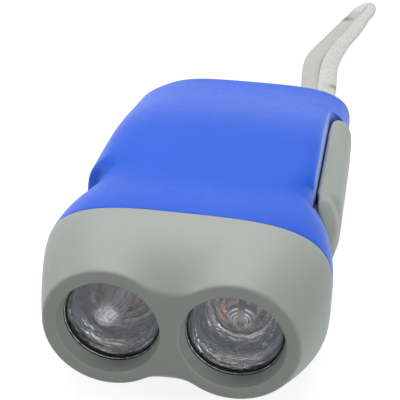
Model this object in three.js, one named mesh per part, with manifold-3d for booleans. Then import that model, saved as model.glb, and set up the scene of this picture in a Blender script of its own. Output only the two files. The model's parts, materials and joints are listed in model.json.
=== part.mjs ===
// Squeeze-lever dynamo torch with two lamps, as separate pieces in one scene graph.
// Lengths are millimetres. X runs across the torch with the lever on the positive side,
// Y runs from the lamps to the rear end, and Z points up. Pieces are drawn about the
// torch's long axis, which the last group lifts to its height above the table.

import * as THREE from 'three';
import { mergeVertices } from 'three/addons/utils/BufferGeometryUtils.js';
import Module from 'manifold-3d';

// Casing, by its three outer sizes
const bodyLength = 100;
const headHalfWidth = 27.3;
const headHalfHeight = 16.2;
const bezelDepth = 16;
const wall = 2;
const seamPower = 3.5;
const neckPower = 4.3;
const rearPower = 3.7;

// Clearances
const gap = 0.3;
const bearingGap = 0.1;
const overrun = 5;
const weldLength = 0.0001;

// Places and lengths along the torch, as shares of its length
const alongShares = {
  neckPlace: 0.334,
  gripStart: 0.385,
  gripStepLength: 0.03,
  crownPlace: 0.56,
  rearLeftRadius: 0.16,
  rearRightRadius: 0.06,
  rearEdgeRadius: 0.055,
  bayFront: 0.315,
  leverFront: 0.365,
  leverRear: 0.814,
  pivotPlace: 0.4,
  windowFront: 0.346,
  driverFront: 0.5,
  driverRear: 0.76,
  switchPlace: 0.63,
  rearPostSetback: 0.12,
  tailPostSetback: 0.15,
};

// Widths, as shares of the head's half width
const acrossShares = {
  neckHalfWidth: 0.857,
  gripHalfWidth: 0.968,
  leverOuter: 0.993,
  pivotAcross: 0.568,
  driverInset: 0.652,
  cellInset: 0.256,
  rearPostInset: 0.58,
  lampSpacing: 0.824,
  lobeRadius: 0.44,
  lampMouthRadius: 0.348,
  lampThroatRadius: 0.33,
  lampBoardWidth: 1.5,
  strapAcross: 0.476,
  rearRightWidth: 0.938,
};

// Heights, as shares of the head's half height
const heightShares = {
  neckTop: 0.895,
  neckFloor: 0.951,
  gripTop: 0.951,
  gripRearTop: 0.636,
  bellySwell: 0.037,
  leverTop: 0.673,
  leverBossTop: 0.531,
  armTop: 0.389,
  footHeight: 0.302,
  sectorThickness: 0.185,
  levelGap: 0.043,
  wheelThickness: 0.1,
  bridgeGap: 0.05,
  bridgeThickness: 0.086,
  magnetHeight: 0.309,
  flywheelLift: 0.062,
  flywheelThickness: 0.124,
  shaftEnd: 0.216,
  cellThickness: 0.197,
  lampBoardHeight: 1.05,
  driverTop: 0.55,
  driverLift: 0.185,
  wireLift: 0.44,
  latchDrop: 0.34,
  latchHeight: 0.247,
  screwReach: 0.37,
  knotHalfHeight: 0.222,
  coilDepth: 0.16,
};

// Gears and generator, as shares of the span that the train has to fill
const trainShares = {
  sectorModule: 0.024,
  firstModule: 0.018,
  secondModule: 0.015,
  axleRadius: 0.027,
  magnetRadius: 0.186,
  poleWidth: 0.12,
  poleLength: 0.378,
  poleReach: 0.12,
  slotHalfWidth: 0.15,
  flywheelRadius: 0.288,
  bridgeMargin: 0.09,
  cellRadius: 0.3,
};
const trainAspectShare = 0.574;

// Lengths from a table of shares and the size that they are shares of
function sized(shares, size) {
  return Object.fromEntries(Object.entries(shares).map(([name, share]) => [name, share * size]));
}

const {
  neckPlace, gripStart, gripStepLength, crownPlace, rearLeftRadius, rearRightRadius, rearEdgeRadius,
  bayFront, leverFront, leverRear, pivotPlace, windowFront, driverFront, driverRear, switchPlace,
  rearPostSetback, tailPostSetback,
} = sized(alongShares, bodyLength);

const {
  neckHalfWidth, gripHalfWidth, leverOuter, pivotAcross, driverInset, cellInset, rearPostInset,
  lampSpacing, lobeRadius, lampMouthRadius, lampThroatRadius, lampBoardWidth, strapAcross,
  rearRightWidth,
} = sized(acrossShares, headHalfWidth);

const {
  neckTop, neckFloor, gripTop, gripRearTop, bellySwell, leverTop, leverBossTop, armTop, footHeight,
  sectorThickness, levelGap, wheelThickness, bridgeGap, bridgeThickness, magnetHeight, flywheelLift,
  flywheelThickness, shaftEnd, cellThickness, lampBoardHeight, driverTop, driverLift, wireLift,
  latchDrop, latchHeight, screwReach, knotHalfHeight, coilDepth,
} = sized(heightShares, headHalfHeight);

const trainSpan = Math.min(pivotAcross + driverInset, (bodyLength - wall - pivotPlace) * trainAspectShare);

const {
  sectorModule, firstModule, secondModule, axleRadius, magnetRadius, poleWidth, poleLength, poleReach,
  slotHalfWidth, flywheelRadius, bridgeMargin, cellRadius,
} = sized(trainShares, trainSpan);

// Head and lamps
const waistShare = 0.72;
const saddleLength = 11;
const frontEdgeRadius = 0.5;
const lampRecess = 3.1;
const lensThickness = 1.5;
const lensRim = 0.9;
const lensCrown = 0.5;
const crownShares = [1, 0.75, 0.5, 0.25, 0];
const reflectorWall = 0.8;
const reflectorNeckRadius = 2.9;
const reflectorDepth = 9.6;
const reflectorTail = 2;
const bowlLip = 0.5;
const bowlShares = [0, 0.2, 0.45, 0.75, 1];
const ledRadius = 2.5;
const ledFlangeRadius = 2.85;
const ledFlangeHeight = 1;
const ledHeight = 8.6;
const domeShares = [0, 0.2, 0.4, 0.6, 0.8];
const boardThickness = 1.4;
const tongueLength = 3;
const tongueThickness = 1.3;

// Squeeze lever
const leverThickness = 4.8;
const leverNoseRadius = 3.4;
const leverTailLength = 2.6;
const leverTailWidth = 1.2;
const leverEdgeRadius = 1.2;
const leverSideGap = 0.7;
const leverGap = 1;
const pinRadius = 1.5;
const pinSeat = 1.6;
const leverBossRadius = 3.6;
const leverSpoolRadius = 2.4;
const armWidth = 5;
const windowMargin = 1.1;
const sectorHubRadius = 4;
const sectorKeyRadius = 3;
const springWire = 0.7;
const springTurns = 3;
const springArmLeg = 4.4;
const springCaseLeg = 5.4;
const springStopRadius = 1;

// Gear train, from the toothed sector to the rotor
const footRadius = 3;
const sectorTeeth = 40;
const sectorTeethCut = 6;
const firstPinionTeeth = 12;
const firstWheelTeeth = 30;
const secondPinionTeeth = 12;
const secondWheelTeeth = 25;
const rotorPinionTeeth = 10;
const firstBearing = 150;
const secondBearing = 95;
const rotorBearing = 65;
const backlashShare = 0.16;
const addendumShare = 0.85;
const dedendumShare = 1.15;
const pressureAngle = 20;

// Generator
const airGap = 0.4;
const bobbinWall = 0.6;

// Cells and electrics
const trayWall = 1;
const traySetback = 1.6;
const contactThickness = 0.4;
const contactWidth = 5;
const driverGrip = 2;
const switchLength = 9;
const switchHeight = 5;
const knobLength = 4.4;
const knobHeight = 2.8;
const knobProud = 0.8;
const knobGrooveShares = [-0.28, 0, 0.28];
const switchTravel = 3;
const wireRadius = 0.5;
const wirePitch = 1.4;
const wireSlack = 1.4;
const wireShares = [0, 0.15, 0.45, 0.85, 1];

// Catch on the lever's tail, and the latch that slides over it
const catchLength = 2.7;
const catchThickness = 0.9;
const latchLength = 8;
const latchTravel = 3;
const latchLip = 1.3;
const latchProud = 0.7;
const latchGrooveShares = [0.5, 0.65, 0.8];

// Fasteners
const postRadius = 3.4;
const screwHeadRadius = 2.3;
const screwHeadHeight = 1.5;
const screwShankRadius = 1.1;
const screwDepth = 5;
const bridgePostRadius = 2;
const bridgeScrewHead = 1.7;
const bridgeScrewRadius = 0.8;
const bridgeScrewReach = 5;

// Wrist strap: one flat braid, knotted behind the rear wall, out as two strands to a folded end
const strandWidth = 4.4;
const strandThickness = 1.5;
const strandPitch = 5;
const strapReach = 150;
const strapSlotWidth = 10.6;
const strapSlotHeight = 3.6;
const knotLength = 4.4;
const knotHalfWidth = 6.2;
const foldLead = 1;
const foldLength = 14.3;
const knotShares = [[0, 0.7], [0.25, 0.95], [0.5, 1], [0.75, 0.95], [1, 0.7]];

// Smoothness of round forms, as counts
const casingSides = 36;
const casingCounts = [6, 3, 3, 5];
const liningSides = 24;
const liningCounts = [3, 2, 2, 3];
const bezelSides = 40;
const bezelRings = 6;
const bowlSides = 24;
const lampSides = 24;
const rodSides = 10;
const routeSides = 8;
const routeSteps = 20;
const wireSteps = 6;
const straightTeeth = 24;
const keySides = 6;
const hullSides = 16;
const foldSides = 5;
const springSteps = 8;

const wasm = await Module();
wasm.setup();

// Materials, with the colours of the torch
function plastic(colour, roughness) {
  return new THREE.MeshStandardMaterial({ color: colour, roughness: roughness, metalness: 0 });
}

function metal(colour, roughness) {
  return new THREE.MeshStandardMaterial({ color: colour, roughness: roughness, metalness: 1 });
}

const blue = () => plastic(0x2f5fe0, 0.42);
const grey = () => plastic(0xa3ada5, 0.5);
const nylon = () => plastic(0xe9e7df, 0.5);
const steel = () => metal(0xb8babd, 0.35);
const chrome = () => metal(0xe8eaec, 0.08);
const dark = () => plastic(0x2b2c2e, 0.6);
const green = () => plastic(0x1f6b45, 0.5);

function clear() {
  const material = plastic(0xf2f6fa, 0.05);
  material.transparent = true;
  material.opacity = 0.35;
  return material;
}

// Joining and cutting
function solid(geometry) {
  const bare = geometry.clone();
  bare.deleteAttribute('normal');
  bare.deleteAttribute('uv');
  const merged = mergeVertices(bare, weldLength);
  const vertProperties = Float32Array.from(merged.attributes.position.array);
  const triVerts = Uint32Array.from(merged.index.array);
  return new wasm.Manifold(new wasm.Mesh({ numProp: 3, vertProperties, triVerts }));
}

function geometryOf(body) {
  const mesh = body.getMesh();
  const geometry = new THREE.BufferGeometry();
  geometry.setAttribute('position', new THREE.BufferAttribute(Float32Array.from(mesh.vertProperties), 3));
  geometry.setIndex(Array.from(mesh.triVerts));
  const flat = geometry.toNonIndexed();
  flat.computeVertexNormals();
  return flat;
}

function cutAll(body, cutters) {
  return cutters.reduce((left, cutter) => left.subtract(cutter), body);
}

function joinAll(bodies) {
  return bodies.reduce((sum, body) => sum.add(body));
}

// Simple solids: a block between two corners, a rod along Z and a barrel along Y
function block(low, high) {
  const size = high.map((value, axis) => value - low[axis]);
  const middle = high.map((value, axis) => (value + low[axis]) / 2);
  return solid(new THREE.BoxGeometry(...size).translate(...middle));
}

function rod(x, y, radius, low, high, sides = rodSides) {
  const shape = new THREE.CylinderGeometry(radius, radius, high - low, sides);
  shape.rotateX(Math.PI / 2);
  return solid(shape.translate(x, y, (low + high) / 2));
}

function lathe(points, sides) {
  return new THREE.LatheGeometry(points.map(([r, h]) => new THREE.Vector2(r, h)), sides);
}

function plate(shape, low, high, curveSegments = 6) {
  const settings = { depth: high - low, bevelEnabled: false, curveSegments };
  return new THREE.ExtrudeGeometry(shape, settings).translate(0, 0, low);
}

function outlineShape(points) {
  return new THREE.Shape(points.map(([x, y]) => new THREE.Vector2(x, y)));
}

// A rectangle with its own corners, each a radius across and one along, from the low corner anticlockwise
function roundedBar(x0, x1, y0, y1, corners) {
  const [a, b, c, d] = corners;
  const turn = Math.PI / 2;
  const shape = new THREE.Shape();
  shape.moveTo(x0 + a[0], y0);
  shape.lineTo(x1 - b[0], y0);
  shape.absellipse(x1 - b[0], y0 + b[1], b[0], b[1], -turn, 0, false, 0);
  shape.lineTo(x1, y1 - c[1]);
  shape.absellipse(x1 - c[0], y1 - c[1], c[0], c[1], 0, turn, false, 0);
  shape.lineTo(x0 + d[0], y1);
  shape.absellipse(x0 + d[0], y1 - d[1], d[0], d[1], turn, 2 * turn, false, 0);
  shape.lineTo(x0, y0 + a[1]);
  shape.absellipse(x0 + a[0], y0 + a[1], a[0], a[1], 2 * turn, 3 * turn, false, 0);
  return shape;
}

function evenBar(x0, x1, y0, y1, radius) {
  const corner = [radius, radius];
  return roundedBar(x0, x1, y0, y1, [corner, corner, corner, corner]);
}

// A closed skin over a row of rings of equal count, with a fan over each end
function loft(rings) {
  const count = rings[0].length;
  const points = rings.flat();
  const faces = [];
  for (let row = 0; row + 1 < rings.length; row += 1) {
    for (let side = 0; side < count; side += 1) {
      const a = row * count + side;
      const b = row * count + (side + 1) % count;
      faces.push(a, a + count, b, b, a + count, b + count);
    }
  }
  const last = (rings.length - 1) * count;
  const middles = [0, rings.length - 1].map((row) => {
    const sum = new THREE.Vector3();
    rings[row].forEach((point) => sum.add(point));
    return sum.divideScalar(count);
  });
  const first = points.length;
  for (let side = 0; side < count; side += 1) {
    const next = (side + 1) % count;
    faces.push(first, side, next);
    faces.push(first + 1, last + next, last + side);
  }
  const geometry = new THREE.BufferGeometry();
  const values = [...points, ...middles].flatMap((point) => point.toArray());
  geometry.setAttribute('position', new THREE.Float32BufferAttribute(values, 3));
  geometry.setIndex(faces);
  return geometry;
}

// Spacing of rings along the torch
function run(start, end, count) {
  return Array.from({ length: count }, (_, index) => start + ((end - start) * index) / count);
}

function roundRun(start, end, count) {
  const turn = Math.PI / 2;
  return Array.from({ length: count + 1 }, (_, index) => start + (end - start) * Math.sin((turn * index) / count));
}

function fraction(place, start, end) {
  return Math.min(1, Math.max(0, (place - start) / (end - start)));
}

function ease(place, start, end) {
  const share = fraction(place, start, end);
  return share * share * (3 - 2 * share);
}

function mix(from, to, share) {
  return from + (to - from) * share;
}

// Casing section at a place along the torch, moved inwards by an inset
const gripFull = gripStart + gripStepLength;
const rearStart = bodyLength - rearLeftRadius;
const seamPlace = bezelDepth + gap;
const tableLevel = -headHalfHeight;
const floorLevel = tableLevel + wall;

function rearDrop(place, radius, inset) {
  const inner = radius - inset;
  const along = Math.min(Math.max(place - (bodyLength - radius), 0), inner);
  return inner - Math.sqrt(inner * inner - along * along);
}

function casingHalfWidth(place, rearWidth) {
  const neck = mix(headHalfWidth, neckHalfWidth, fraction(place, bezelDepth, neckPlace));
  const grip = mix(neck, gripHalfWidth, ease(place, gripStart, gripFull));
  return mix(grip, rearWidth, fraction(place, gripFull, bodyLength));
}

function casingTop(place) {
  const neck = mix(headHalfHeight, neckTop, ease(place, bezelDepth, neckPlace));
  const crown = mix(neck, gripTop, ease(place, neckPlace, crownPlace));
  return mix(crown, gripRearTop, ease(place, crownPlace, bodyLength));
}

function casingFloor(place) {
  const neck = mix(headHalfHeight, neckFloor, ease(place, bezelDepth, neckPlace));
  return mix(neck, headHalfHeight + bellySwell, ease(place, neckPlace, gripFull));
}

function casingPower(place) {
  const neck = mix(seamPower, neckPower, ease(place, bezelDepth, neckPlace));
  return mix(neck, rearPower, ease(place, crownPlace, bodyLength));
}

// Points of a rounded section, whose four half sizes are left, right, top and floor
function roundedSection(form, place, sides, power = seamPower) {
  return Array.from({ length: sides }, (_, index) => {
    const angle = (2 * Math.PI * index) / sides;
    const across = Math.cos(angle);
    const up = Math.sin(angle);
    const width = across > 0 ? form.right : form.left;
    const height = up > 0 ? form.top : form.floor;
    const x = width * Math.sign(across) * Math.abs(across) ** (2 / power);
    const z = height * Math.sign(up) * Math.abs(up) ** (2 / power);
    return new THREE.Vector3(x, place, z);
  });
}

function evenForm(halfWidth, halfHeight) {
  return { left: halfWidth, right: halfWidth, top: halfHeight, floor: halfHeight };
}

function casingRing(place, inset, sides) {
  const edge = rearDrop(place, rearEdgeRadius, inset);
  const form = {
    left: casingHalfWidth(place, gripHalfWidth) - inset - rearDrop(place, rearLeftRadius, inset),
    right: casingHalfWidth(place, rearRightWidth) - inset - rearDrop(place, rearRightRadius, inset),
    top: casingTop(place) - inset - edge,
    floor: casingFloor(place) - inset - edge,
  };
  return roundedSection(form, place, sides, casingPower(place));
}

function casingLoft(front, inset, sides, counts) {
  const places = [
    ...run(front, neckPlace, counts[0]),
    ...run(neckPlace, gripStart, 1),
    ...run(gripStart, gripFull, counts[1]),
    ...run(gripFull, rearStart, counts[2]),
    ...roundRun(rearStart, bodyLength - inset, counts[3]),
  ];
  return solid(loft(places.map((place) => casingRing(place, inset, sides))));
}

// Levels of the train
const footTop = floorLevel + footHeight;
const sectorLow = footTop + gap;
const sectorHigh = sectorLow + sectorThickness;
const firstWheelLow = sectorHigh + levelGap;
const firstWheelHigh = firstWheelLow + wheelThickness;
const secondWheelLow = firstWheelHigh + levelGap;
const secondWheelHigh = secondWheelLow + wheelThickness;
const bridgeLow = secondWheelHigh + bridgeGap;
const bridgeHigh = bridgeLow + bridgeThickness;
const coreLow = bridgeHigh + gap;
const coreHigh = coreLow + magnetHeight;
const flywheelLow = coreHigh + flywheelLift;
const flywheelHigh = flywheelLow + flywheelThickness;
const rotorBearingLevel = flywheelHigh + shaftEnd / 2;
const shaftHigh = flywheelHigh + shaftEnd;

// Gear centres, each laid off from the one before it at its working distance
const sectorPitch = (sectorModule * sectorTeeth) / 2;
const firstPinionPitch = (sectorModule * firstPinionTeeth) / 2;
const firstWheelPitch = (firstModule * firstWheelTeeth) / 2;
const secondPinionPitch = (firstModule * secondPinionTeeth) / 2;
const secondWheelPitch = (secondModule * secondWheelTeeth) / 2;
const rotorPinionPitch = (secondModule * rotorPinionTeeth) / 2;

function radians(degrees) {
  return (degrees * Math.PI) / 180;
}

function layOff(from, bearing, distance) {
  return [from[0] + distance * Math.cos(radians(bearing)), from[1] + distance * Math.sin(radians(bearing))];
}

const pivot = [pivotAcross, pivotPlace];
const firstCentre = layOff(pivot, firstBearing, sectorPitch + firstPinionPitch);
const secondCentre = layOff(firstCentre, secondBearing, firstWheelPitch + secondPinionPitch);
const rotorCentre = layOff(secondCentre, rotorBearing, secondWheelPitch + rotorPinionPitch);

// Phase of each gear, so that a tooth of one stands in a gap of the next at rest
function meshedPhase(phase, bearing, teeth, otherTeeth) {
  return bearing + 180 + 180 / otherTeeth - ((phase - bearing) * teeth) / otherTeeth;
}

const firstPhase = meshedPhase(firstBearing, firstBearing, sectorTeeth, firstPinionTeeth);
const secondPhase = meshedPhase(firstPhase, secondBearing, firstWheelTeeth, secondPinionTeeth);
const rotorPhase = meshedPhase(secondPhase, rotorBearing, secondWheelTeeth, rotorPinionTeeth);

// One involute tooth about its centre line, as radius and angle, from one root to the other
function toothPoints(module, teeth) {
  const pitch = (module * teeth) / 2;
  const base = pitch * Math.cos(radians(pressureAngle));
  const involute = (radius) => {
    const lean = Math.acos(Math.min(1, base / radius));
    return Math.tan(lean) - lean;
  };
  const half = (Math.PI * (1 - backlashShare)) / (2 * teeth) + involute(pitch);
  const tip = pitch + addendumShare * module;
  const root = pitch - dedendumShare * module;
  const radii = teeth > straightTeeth ? [root, tip] : [root, pitch, tip];
  const flank = radii.map((radius) => [radius, half - involute(Math.max(radius, base))]);
  return [...flank.map(([r, a]) => [r, -a]), ...flank.reverse()];
}

function polar(radius, angle) {
  return [radius * Math.cos(angle), radius * Math.sin(angle)];
}

function gearShape(module, teeth, phase, boreRadius) {
  const points = [];
  for (let tooth = 0; tooth < teeth; tooth += 1) {
    const centre = radians(phase + (360 * tooth) / teeth);
    toothPoints(module, teeth).forEach(([radius, angle]) => points.push(polar(radius, centre + angle)));
  }
  const shape = outlineShape(points);
  shape.holes.push(new THREE.Path().absarc(0, 0, boreRadius, 0, 2 * Math.PI, true));
  return shape;
}

// Places of the fasteners
const casePosts = [
  [pivotAcross, neckPlace - 2 * postRadius],
  [-gripHalfWidth + wall + postRadius, gripFull + postRadius + gap],
  [-rearPostInset, bodyLength - rearPostSetback],
  [rearPostInset, bodyLength - tailPostSetback],
];

const bridgePosts = [
  [secondCentre[0] - secondWheelPitch - bridgePostRadius - leverGap, secondCentre[1]],
  [pivotAcross - bridgePostRadius, pivotPlace + sectorPitch + leverBossRadius + bridgePostRadius],
  [rotorCentre[0] + magnetRadius + airGap + poleWidth + screwHeadRadius + leverGap, rotorCentre[1] + poleReach],
];

// Head
const waistHalfHeight = waistShare * lobeRadius;

function eightRadius(angle) {
  const half = lampSpacing / 2;
  const fillet = (half * half + waistHalfHeight * waistHalfHeight - lobeRadius * lobeRadius)
    / (2 * (lobeRadius - waistHalfHeight));
  const filletCentre = waistHalfHeight + fillet;
  const across = Math.abs(Math.cos(angle));
  const up = Math.abs(Math.sin(angle));
  const touch = Math.atan2((lobeRadius * filletCentre) / (lobeRadius + fillet), (half * fillet) / (lobeRadius + fillet));
  if (Math.atan2(up, across) < touch) {
    const along = half * across;
    return along + Math.sqrt(along * along - half * half + lobeRadius * lobeRadius);
  }
  const along = filletCentre * up;
  return along - Math.sqrt(along * along - filletCentre * filletCentre + fillet * fillet);
}

function stadiumRadius(angle) {
  const half = lampSpacing / 2;
  const across = Math.abs(Math.cos(angle));
  const up = Math.abs(Math.sin(angle));
  if (Math.atan2(up, across) < Math.atan2(lobeRadius, half)) {
    const along = half * across;
    return along + Math.sqrt(along * along - half * half + lobeRadius * lobeRadius);
  }
  return lobeRadius / up;
}

function seamRadius(angle) {
  const across = Math.abs(Math.cos(angle)) / headHalfWidth;
  const up = Math.abs(Math.sin(angle)) / headHalfHeight;
  return (across ** seamPower + up ** seamPower) ** (-1 / seamPower);
}

// Outline of the head at a depth: twin lobes at the front, the casing section at the seam
function headRing(depth, inset, sides) {
  const spreadShare = 1 - (1 - depth / bezelDepth) ** 1.5;
  const saddleShare = (1 - Math.min(1, depth / saddleLength)) ** 2;
  return Array.from({ length: sides }, (_, index) => {
    const turn = (2 * Math.PI * index) / sides;
    const angle = Math.atan2(Math.sin(turn) * headHalfHeight, Math.cos(turn) * headHalfWidth);
    const stadium = stadiumRadius(angle);
    const dip = (stadium - eightRadius(angle)) * saddleShare;
    const radius = mix(stadium, seamRadius(angle), spreadShare) - dip - inset;
    return new THREE.Vector3(radius * Math.cos(angle), depth, radius * Math.sin(angle));
  });
}

function lampBarrel(side, profile) {
  const geometry = lathe(profile, lampSides);
  return solid(geometry.translate((side * lampSpacing) / 2, 0, 0));
}

const lensFront = lampRecess + gap / 3;
const seatRadius = lampThroatRadius + lensRim;
const reflectorFront = lensFront + lensThickness + gap / 3;
const reflectorRear = reflectorFront + reflectorDepth;
const reflectorEnd = reflectorRear + reflectorTail;
const lampBoardFront = reflectorEnd + gap;

// Places of the boards and cells
const driverAcross = -driverInset;
const driverLow = floorLevel + driverLift;
const wireLevel = floorLevel + wireLift;
const cellAcross = -cellInset;
const cellPlace = lampBoardFront + boardThickness + traySetback + trayWall + gap + cellRadius;

function makeBezel() {
  const depths = [0, frontEdgeRadius / 3, frontEdgeRadius, ...run(4 * frontEdgeRadius, bezelDepth, bezelRings), bezelDepth];
  const insets = [frontEdgeRadius, frontEdgeRadius / 3, 0];
  const outer = solid(loft(depths.map((depth, row) => headRing(depth, insets[row] ?? 0, bezelSides))));
  const tongue = solid(loft([bezelDepth - tongueLength, bezelDepth + tongueLength]
    .map((place) => casingRing(Math.max(place, bezelDepth), wall + gap, liningSides)
      .map((point) => point.setY(place)))));
  const hollowFront = reflectorFront + reflectorDepth / 2;
  const inset = wall + gap + tongueThickness;
  const room = evenForm(headHalfWidth - inset, headHalfHeight - inset);
  const hollow = solid(loft([hollowFront, bezelDepth, bezelDepth + tongueLength + overrun]
    .map((place) => roundedSection(room, place, liningSides))));
  const openings = [-1, 1].flatMap((side) => [
    lampBarrel(side, [
      [0, -overrun], [lampMouthRadius + overrun, -overrun], [lampMouthRadius, 0],
      [lampThroatRadius, lampRecess], [lampThroatRadius, reflectorFront], [0, reflectorFront],
    ]),
    lampBarrel(side, [
      [0, lampRecess], [seatRadius + gap, lampRecess], [seatRadius + gap, bezelDepth], [0, bezelDepth],
    ]),
  ]);
  return cutAll(outer.add(tongue), [hollow, ...openings]);
}

function lensProfile() {
  const crown = crownShares
    .map((share) => [lampThroatRadius * share, lensThickness + lensCrown * (1 - share * share)]);
  return [[0, 0], [seatRadius, 0], [seatRadius, lensThickness], ...crown];
}

function reflectorProfile() {
  const full = lampThroatRadius - bowlLip;
  const spread = full * full - reflectorNeckRadius * reflectorNeckRadius;
  const bowl = bowlShares.map((share) => {
    const radius = mix(full, reflectorNeckRadius, share);
    return [radius, (reflectorDepth * (full * full - radius * radius)) / spread];
  });
  const end = reflectorDepth + reflectorTail;
  const shell = bowl.slice(1, -1).map(([radius, depth]) => [radius + reflectorWall, depth]);
  return [
    [full, 0],
    [seatRadius, 0],
    [seatRadius, reflectorWall],
    [full + reflectorWall / 2, reflectorWall],
    ...shell,
    [reflectorNeckRadius + reflectorWall, reflectorDepth + reflectorWall / 2],
    [reflectorNeckRadius + reflectorWall, end],
    [reflectorNeckRadius, end],
    ...bowl.reverse(),
  ];
}

function ledProfile() {
  const shoulder = ledHeight - ledRadius;
  const dome = domeShares.map((share) => polar(ledRadius, (Math.PI * share) / 2))
    .map(([radius, rise]) => [radius, shoulder + rise]);
  const flange = [[0, 0], [ledFlangeRadius, 0], [ledFlangeRadius, ledFlangeHeight], [ledRadius, ledFlangeHeight]];
  return [...flange, ...dome, [0, ledHeight]];
}

// Squeeze lever, hinged near the neck, with its toothed sector inside the casing
const leverInner = leverOuter - leverThickness;
const bayWall = leverInner - leverSideGap;
const liningRight = bayWall - wall;
const springOuter = leverSpoolRadius + gap + springWire;
const springLow = leverBossTop - (springTurns + 1) * (springWire + bearingGap) - springWire;
const bayRear = leverRear + leverGap;
const wide = 2 * gripHalfWidth;
const tall = 2 * gripTop;

// The catch stands out behind the lever's tail, and the latch slides forward along its outer side
const catchFront = leverRear + gap;
const catchRear = catchFront + catchLength;
const catchInner = leverInner + leverTailWidth;
const catchOuter = catchInner + catchThickness;
const latchFront = catchRear + gap;
const latchRear = latchFront + latchLength;
const latchInner = catchOuter + gap;
const latchOuter = rearRightWidth + latchProud;
const flangeOuter = rearRightWidth - wall - gap;
const flangeInner = flangeOuter - latchLip;
const latchTop = -latchDrop + latchHeight / 2;
const latchLow = -latchDrop - latchHeight / 2;
const latchHigh = latchTop + gap;

function makeLever() {
  const nose = [leverNoseRadius, leverNoseRadius];
  const edge = [leverEdgeRadius, leverEdgeRadius];
  const tail = [leverTailWidth, leverTailLength];
  const outline = roundedBar(leverInner, leverOuter, leverFront, leverRear, [nose, edge, edge, tail]);
  const section = [leverFront - overrun, leverRear + overrun]
    .map((place) => roundedSection(evenForm(leverOuter, leverTop), place, casingSides));
  const paddle = solid(plate(outline, -leverTop, leverTop, 3)).intersect(solid(loft(section)));
  const armFront = pivotPlace - armWidth / 2;
  const armRear = pivotPlace + armWidth / 2;
  const armStep = pivotAcross + sectorHubRadius + gap;
  const arm = block([armStep, armFront, -armTop], [leverInner + leverThickness / 3, armRear, armTop]);
  const root = block([pivotAcross, armFront, sectorHigh], [armStep + gap, armRear, springLow - gap]);
  const boss = rod(...pivot, leverBossRadius, sectorHigh, springLow - gap);
  const spool = rod(...pivot, leverSpoolRadius, sectorHigh, leverBossTop);
  const key = rod(...pivot, sectorKeyRadius, sectorLow, sectorHigh + gap, keySides);
  const bore = rod(...pivot, pinRadius + bearingGap, sectorLow - overrun, leverBossTop + overrun);
  return joinAll([paddle, arm, root, boss, spool, key]).subtract(bore);
}

function makeCatch() {
  return block([catchInner, catchFront, latchLow + gap], [catchOuter, catchRear, latchTop - gap]);
}

function makeSector() {
  const pitch = 360 / sectorTeeth;
  const root = sectorPitch - sectorModule * dedendumShare;
  const points = [polar(root, radians(firstBearing - 1.5 * pitch))];
  for (let tooth = 0; tooth < sectorTeethCut; tooth += 1) {
    const centre = radians(firstBearing + pitch * (tooth - 1));
    toothPoints(sectorModule, sectorTeeth).forEach(([radius, angle]) => points.push(polar(radius, centre + angle)));
  }
  points.push(polar(root, radians(firstBearing + pitch * (sectorTeethCut - 0.5))));
  const web = solid(plate(outlineShape([[0, 0], ...points]), sectorLow, sectorHigh));
  const hub = rod(0, 0, sectorHubRadius, sectorLow, sectorHigh, 2 * rodSides);
  const keyhole = rod(0, 0, sectorKeyRadius + bearingGap, sectorLow - overrun, sectorHigh + overrun, keySides);
  return web.add(hub).subtract(keyhole).translate([...pivot, 0]);
}

// Torsion spring round the lever's spool: one leg behind the arm, one on the stop in the casing
function makeSpring() {
  const coil = springOuter - springWire / 2;
  const rise = springWire + bearingGap;
  const steps = springSteps * springTurns + 2;
  const points = [new THREE.Vector3(springArmLeg, coil, 0)];
  for (let step = 0; step <= steps; step += 1) {
    const turn = step / springSteps;
    const [x, y] = polar(coil, Math.PI / 2 + 2 * Math.PI * turn);
    points.push(new THREE.Vector3(x, y, rise * turn));
  }
  points.push(new THREE.Vector3(-coil, -springCaseLeg, (rise * steps) / springSteps));
  const route = new THREE.CatmullRomCurve3(points, false, 'centripetal');
  const wire = new THREE.Shape().absarc(0, 0, springWire / 2, 0, 2 * Math.PI, false);
  const settings = { steps: steps + 4, bevelEnabled: false, extrudePath: route, curveSegments: 3 };
  return new THREE.ExtrudeGeometry(wire, settings).translate(...pivot, springLow + springWire / 2);
}

// Casing: one hollow form, cut at the parting plane into its two shells
function makeLining() {
  const mechanismBay = block([liningRight, bayFront - wall, -tall], [wide, bayRear + wall, tall]);
  const room = block([-wide, 0, floorLevel], [wide, bodyLength, tall]);
  return casingLoft(seamPlace - overrun, wall, liningSides, liningCounts).subtract(mechanismBay).intersect(room);
}

function makeLeverBay() {
  const edge = [leverEdgeRadius, leverEdgeRadius];
  const tail = [leverTailWidth + leverGap / 2, leverTailLength + leverGap / 2];
  const outline = roundedBar(bayWall, wide, bayFront, bayRear, [edge, edge, edge, tail]);
  const bay = solid(plate(outline, -tall, tall, 3));
  const window = block(
    [liningRight - wall, windowFront, -armTop - gap],
    [bayWall + wall, pivotPlace + armWidth / 2 + windowMargin, armTop + gap],
  );
  const noseRoom = block([bayWall - leverSideGap, bayFront, -leverTop - gap], [wide, pivotPlace, leverTop + gap]);
  const hubPocket = rod(...pivot, sectorHubRadius + gap, sectorLow - gap, sectorHigh + gap, 2 * rodSides);
  const springPocket = rod(...pivot, springOuter + gap, springLow - gap, leverBossTop + gap, 2 * rodSides);
  return [bay, window, noseRoom, hubPocket, springPocket];
}

function makeStrapSlot() {
  const halfWidth = strapSlotWidth / 2;
  const halfHeight = strapSlotHeight / 2;
  const outline = evenBar(strapAcross - halfWidth, strapAcross + halfWidth, -halfHeight, halfHeight, strapSlotHeight / 3);
  const slot = plate(outline, 0, 2 * overrun, 2);
  return solid(slot.rotateX(Math.PI / 2).translate(0, bodyLength + overrun, 0));
}

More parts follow.
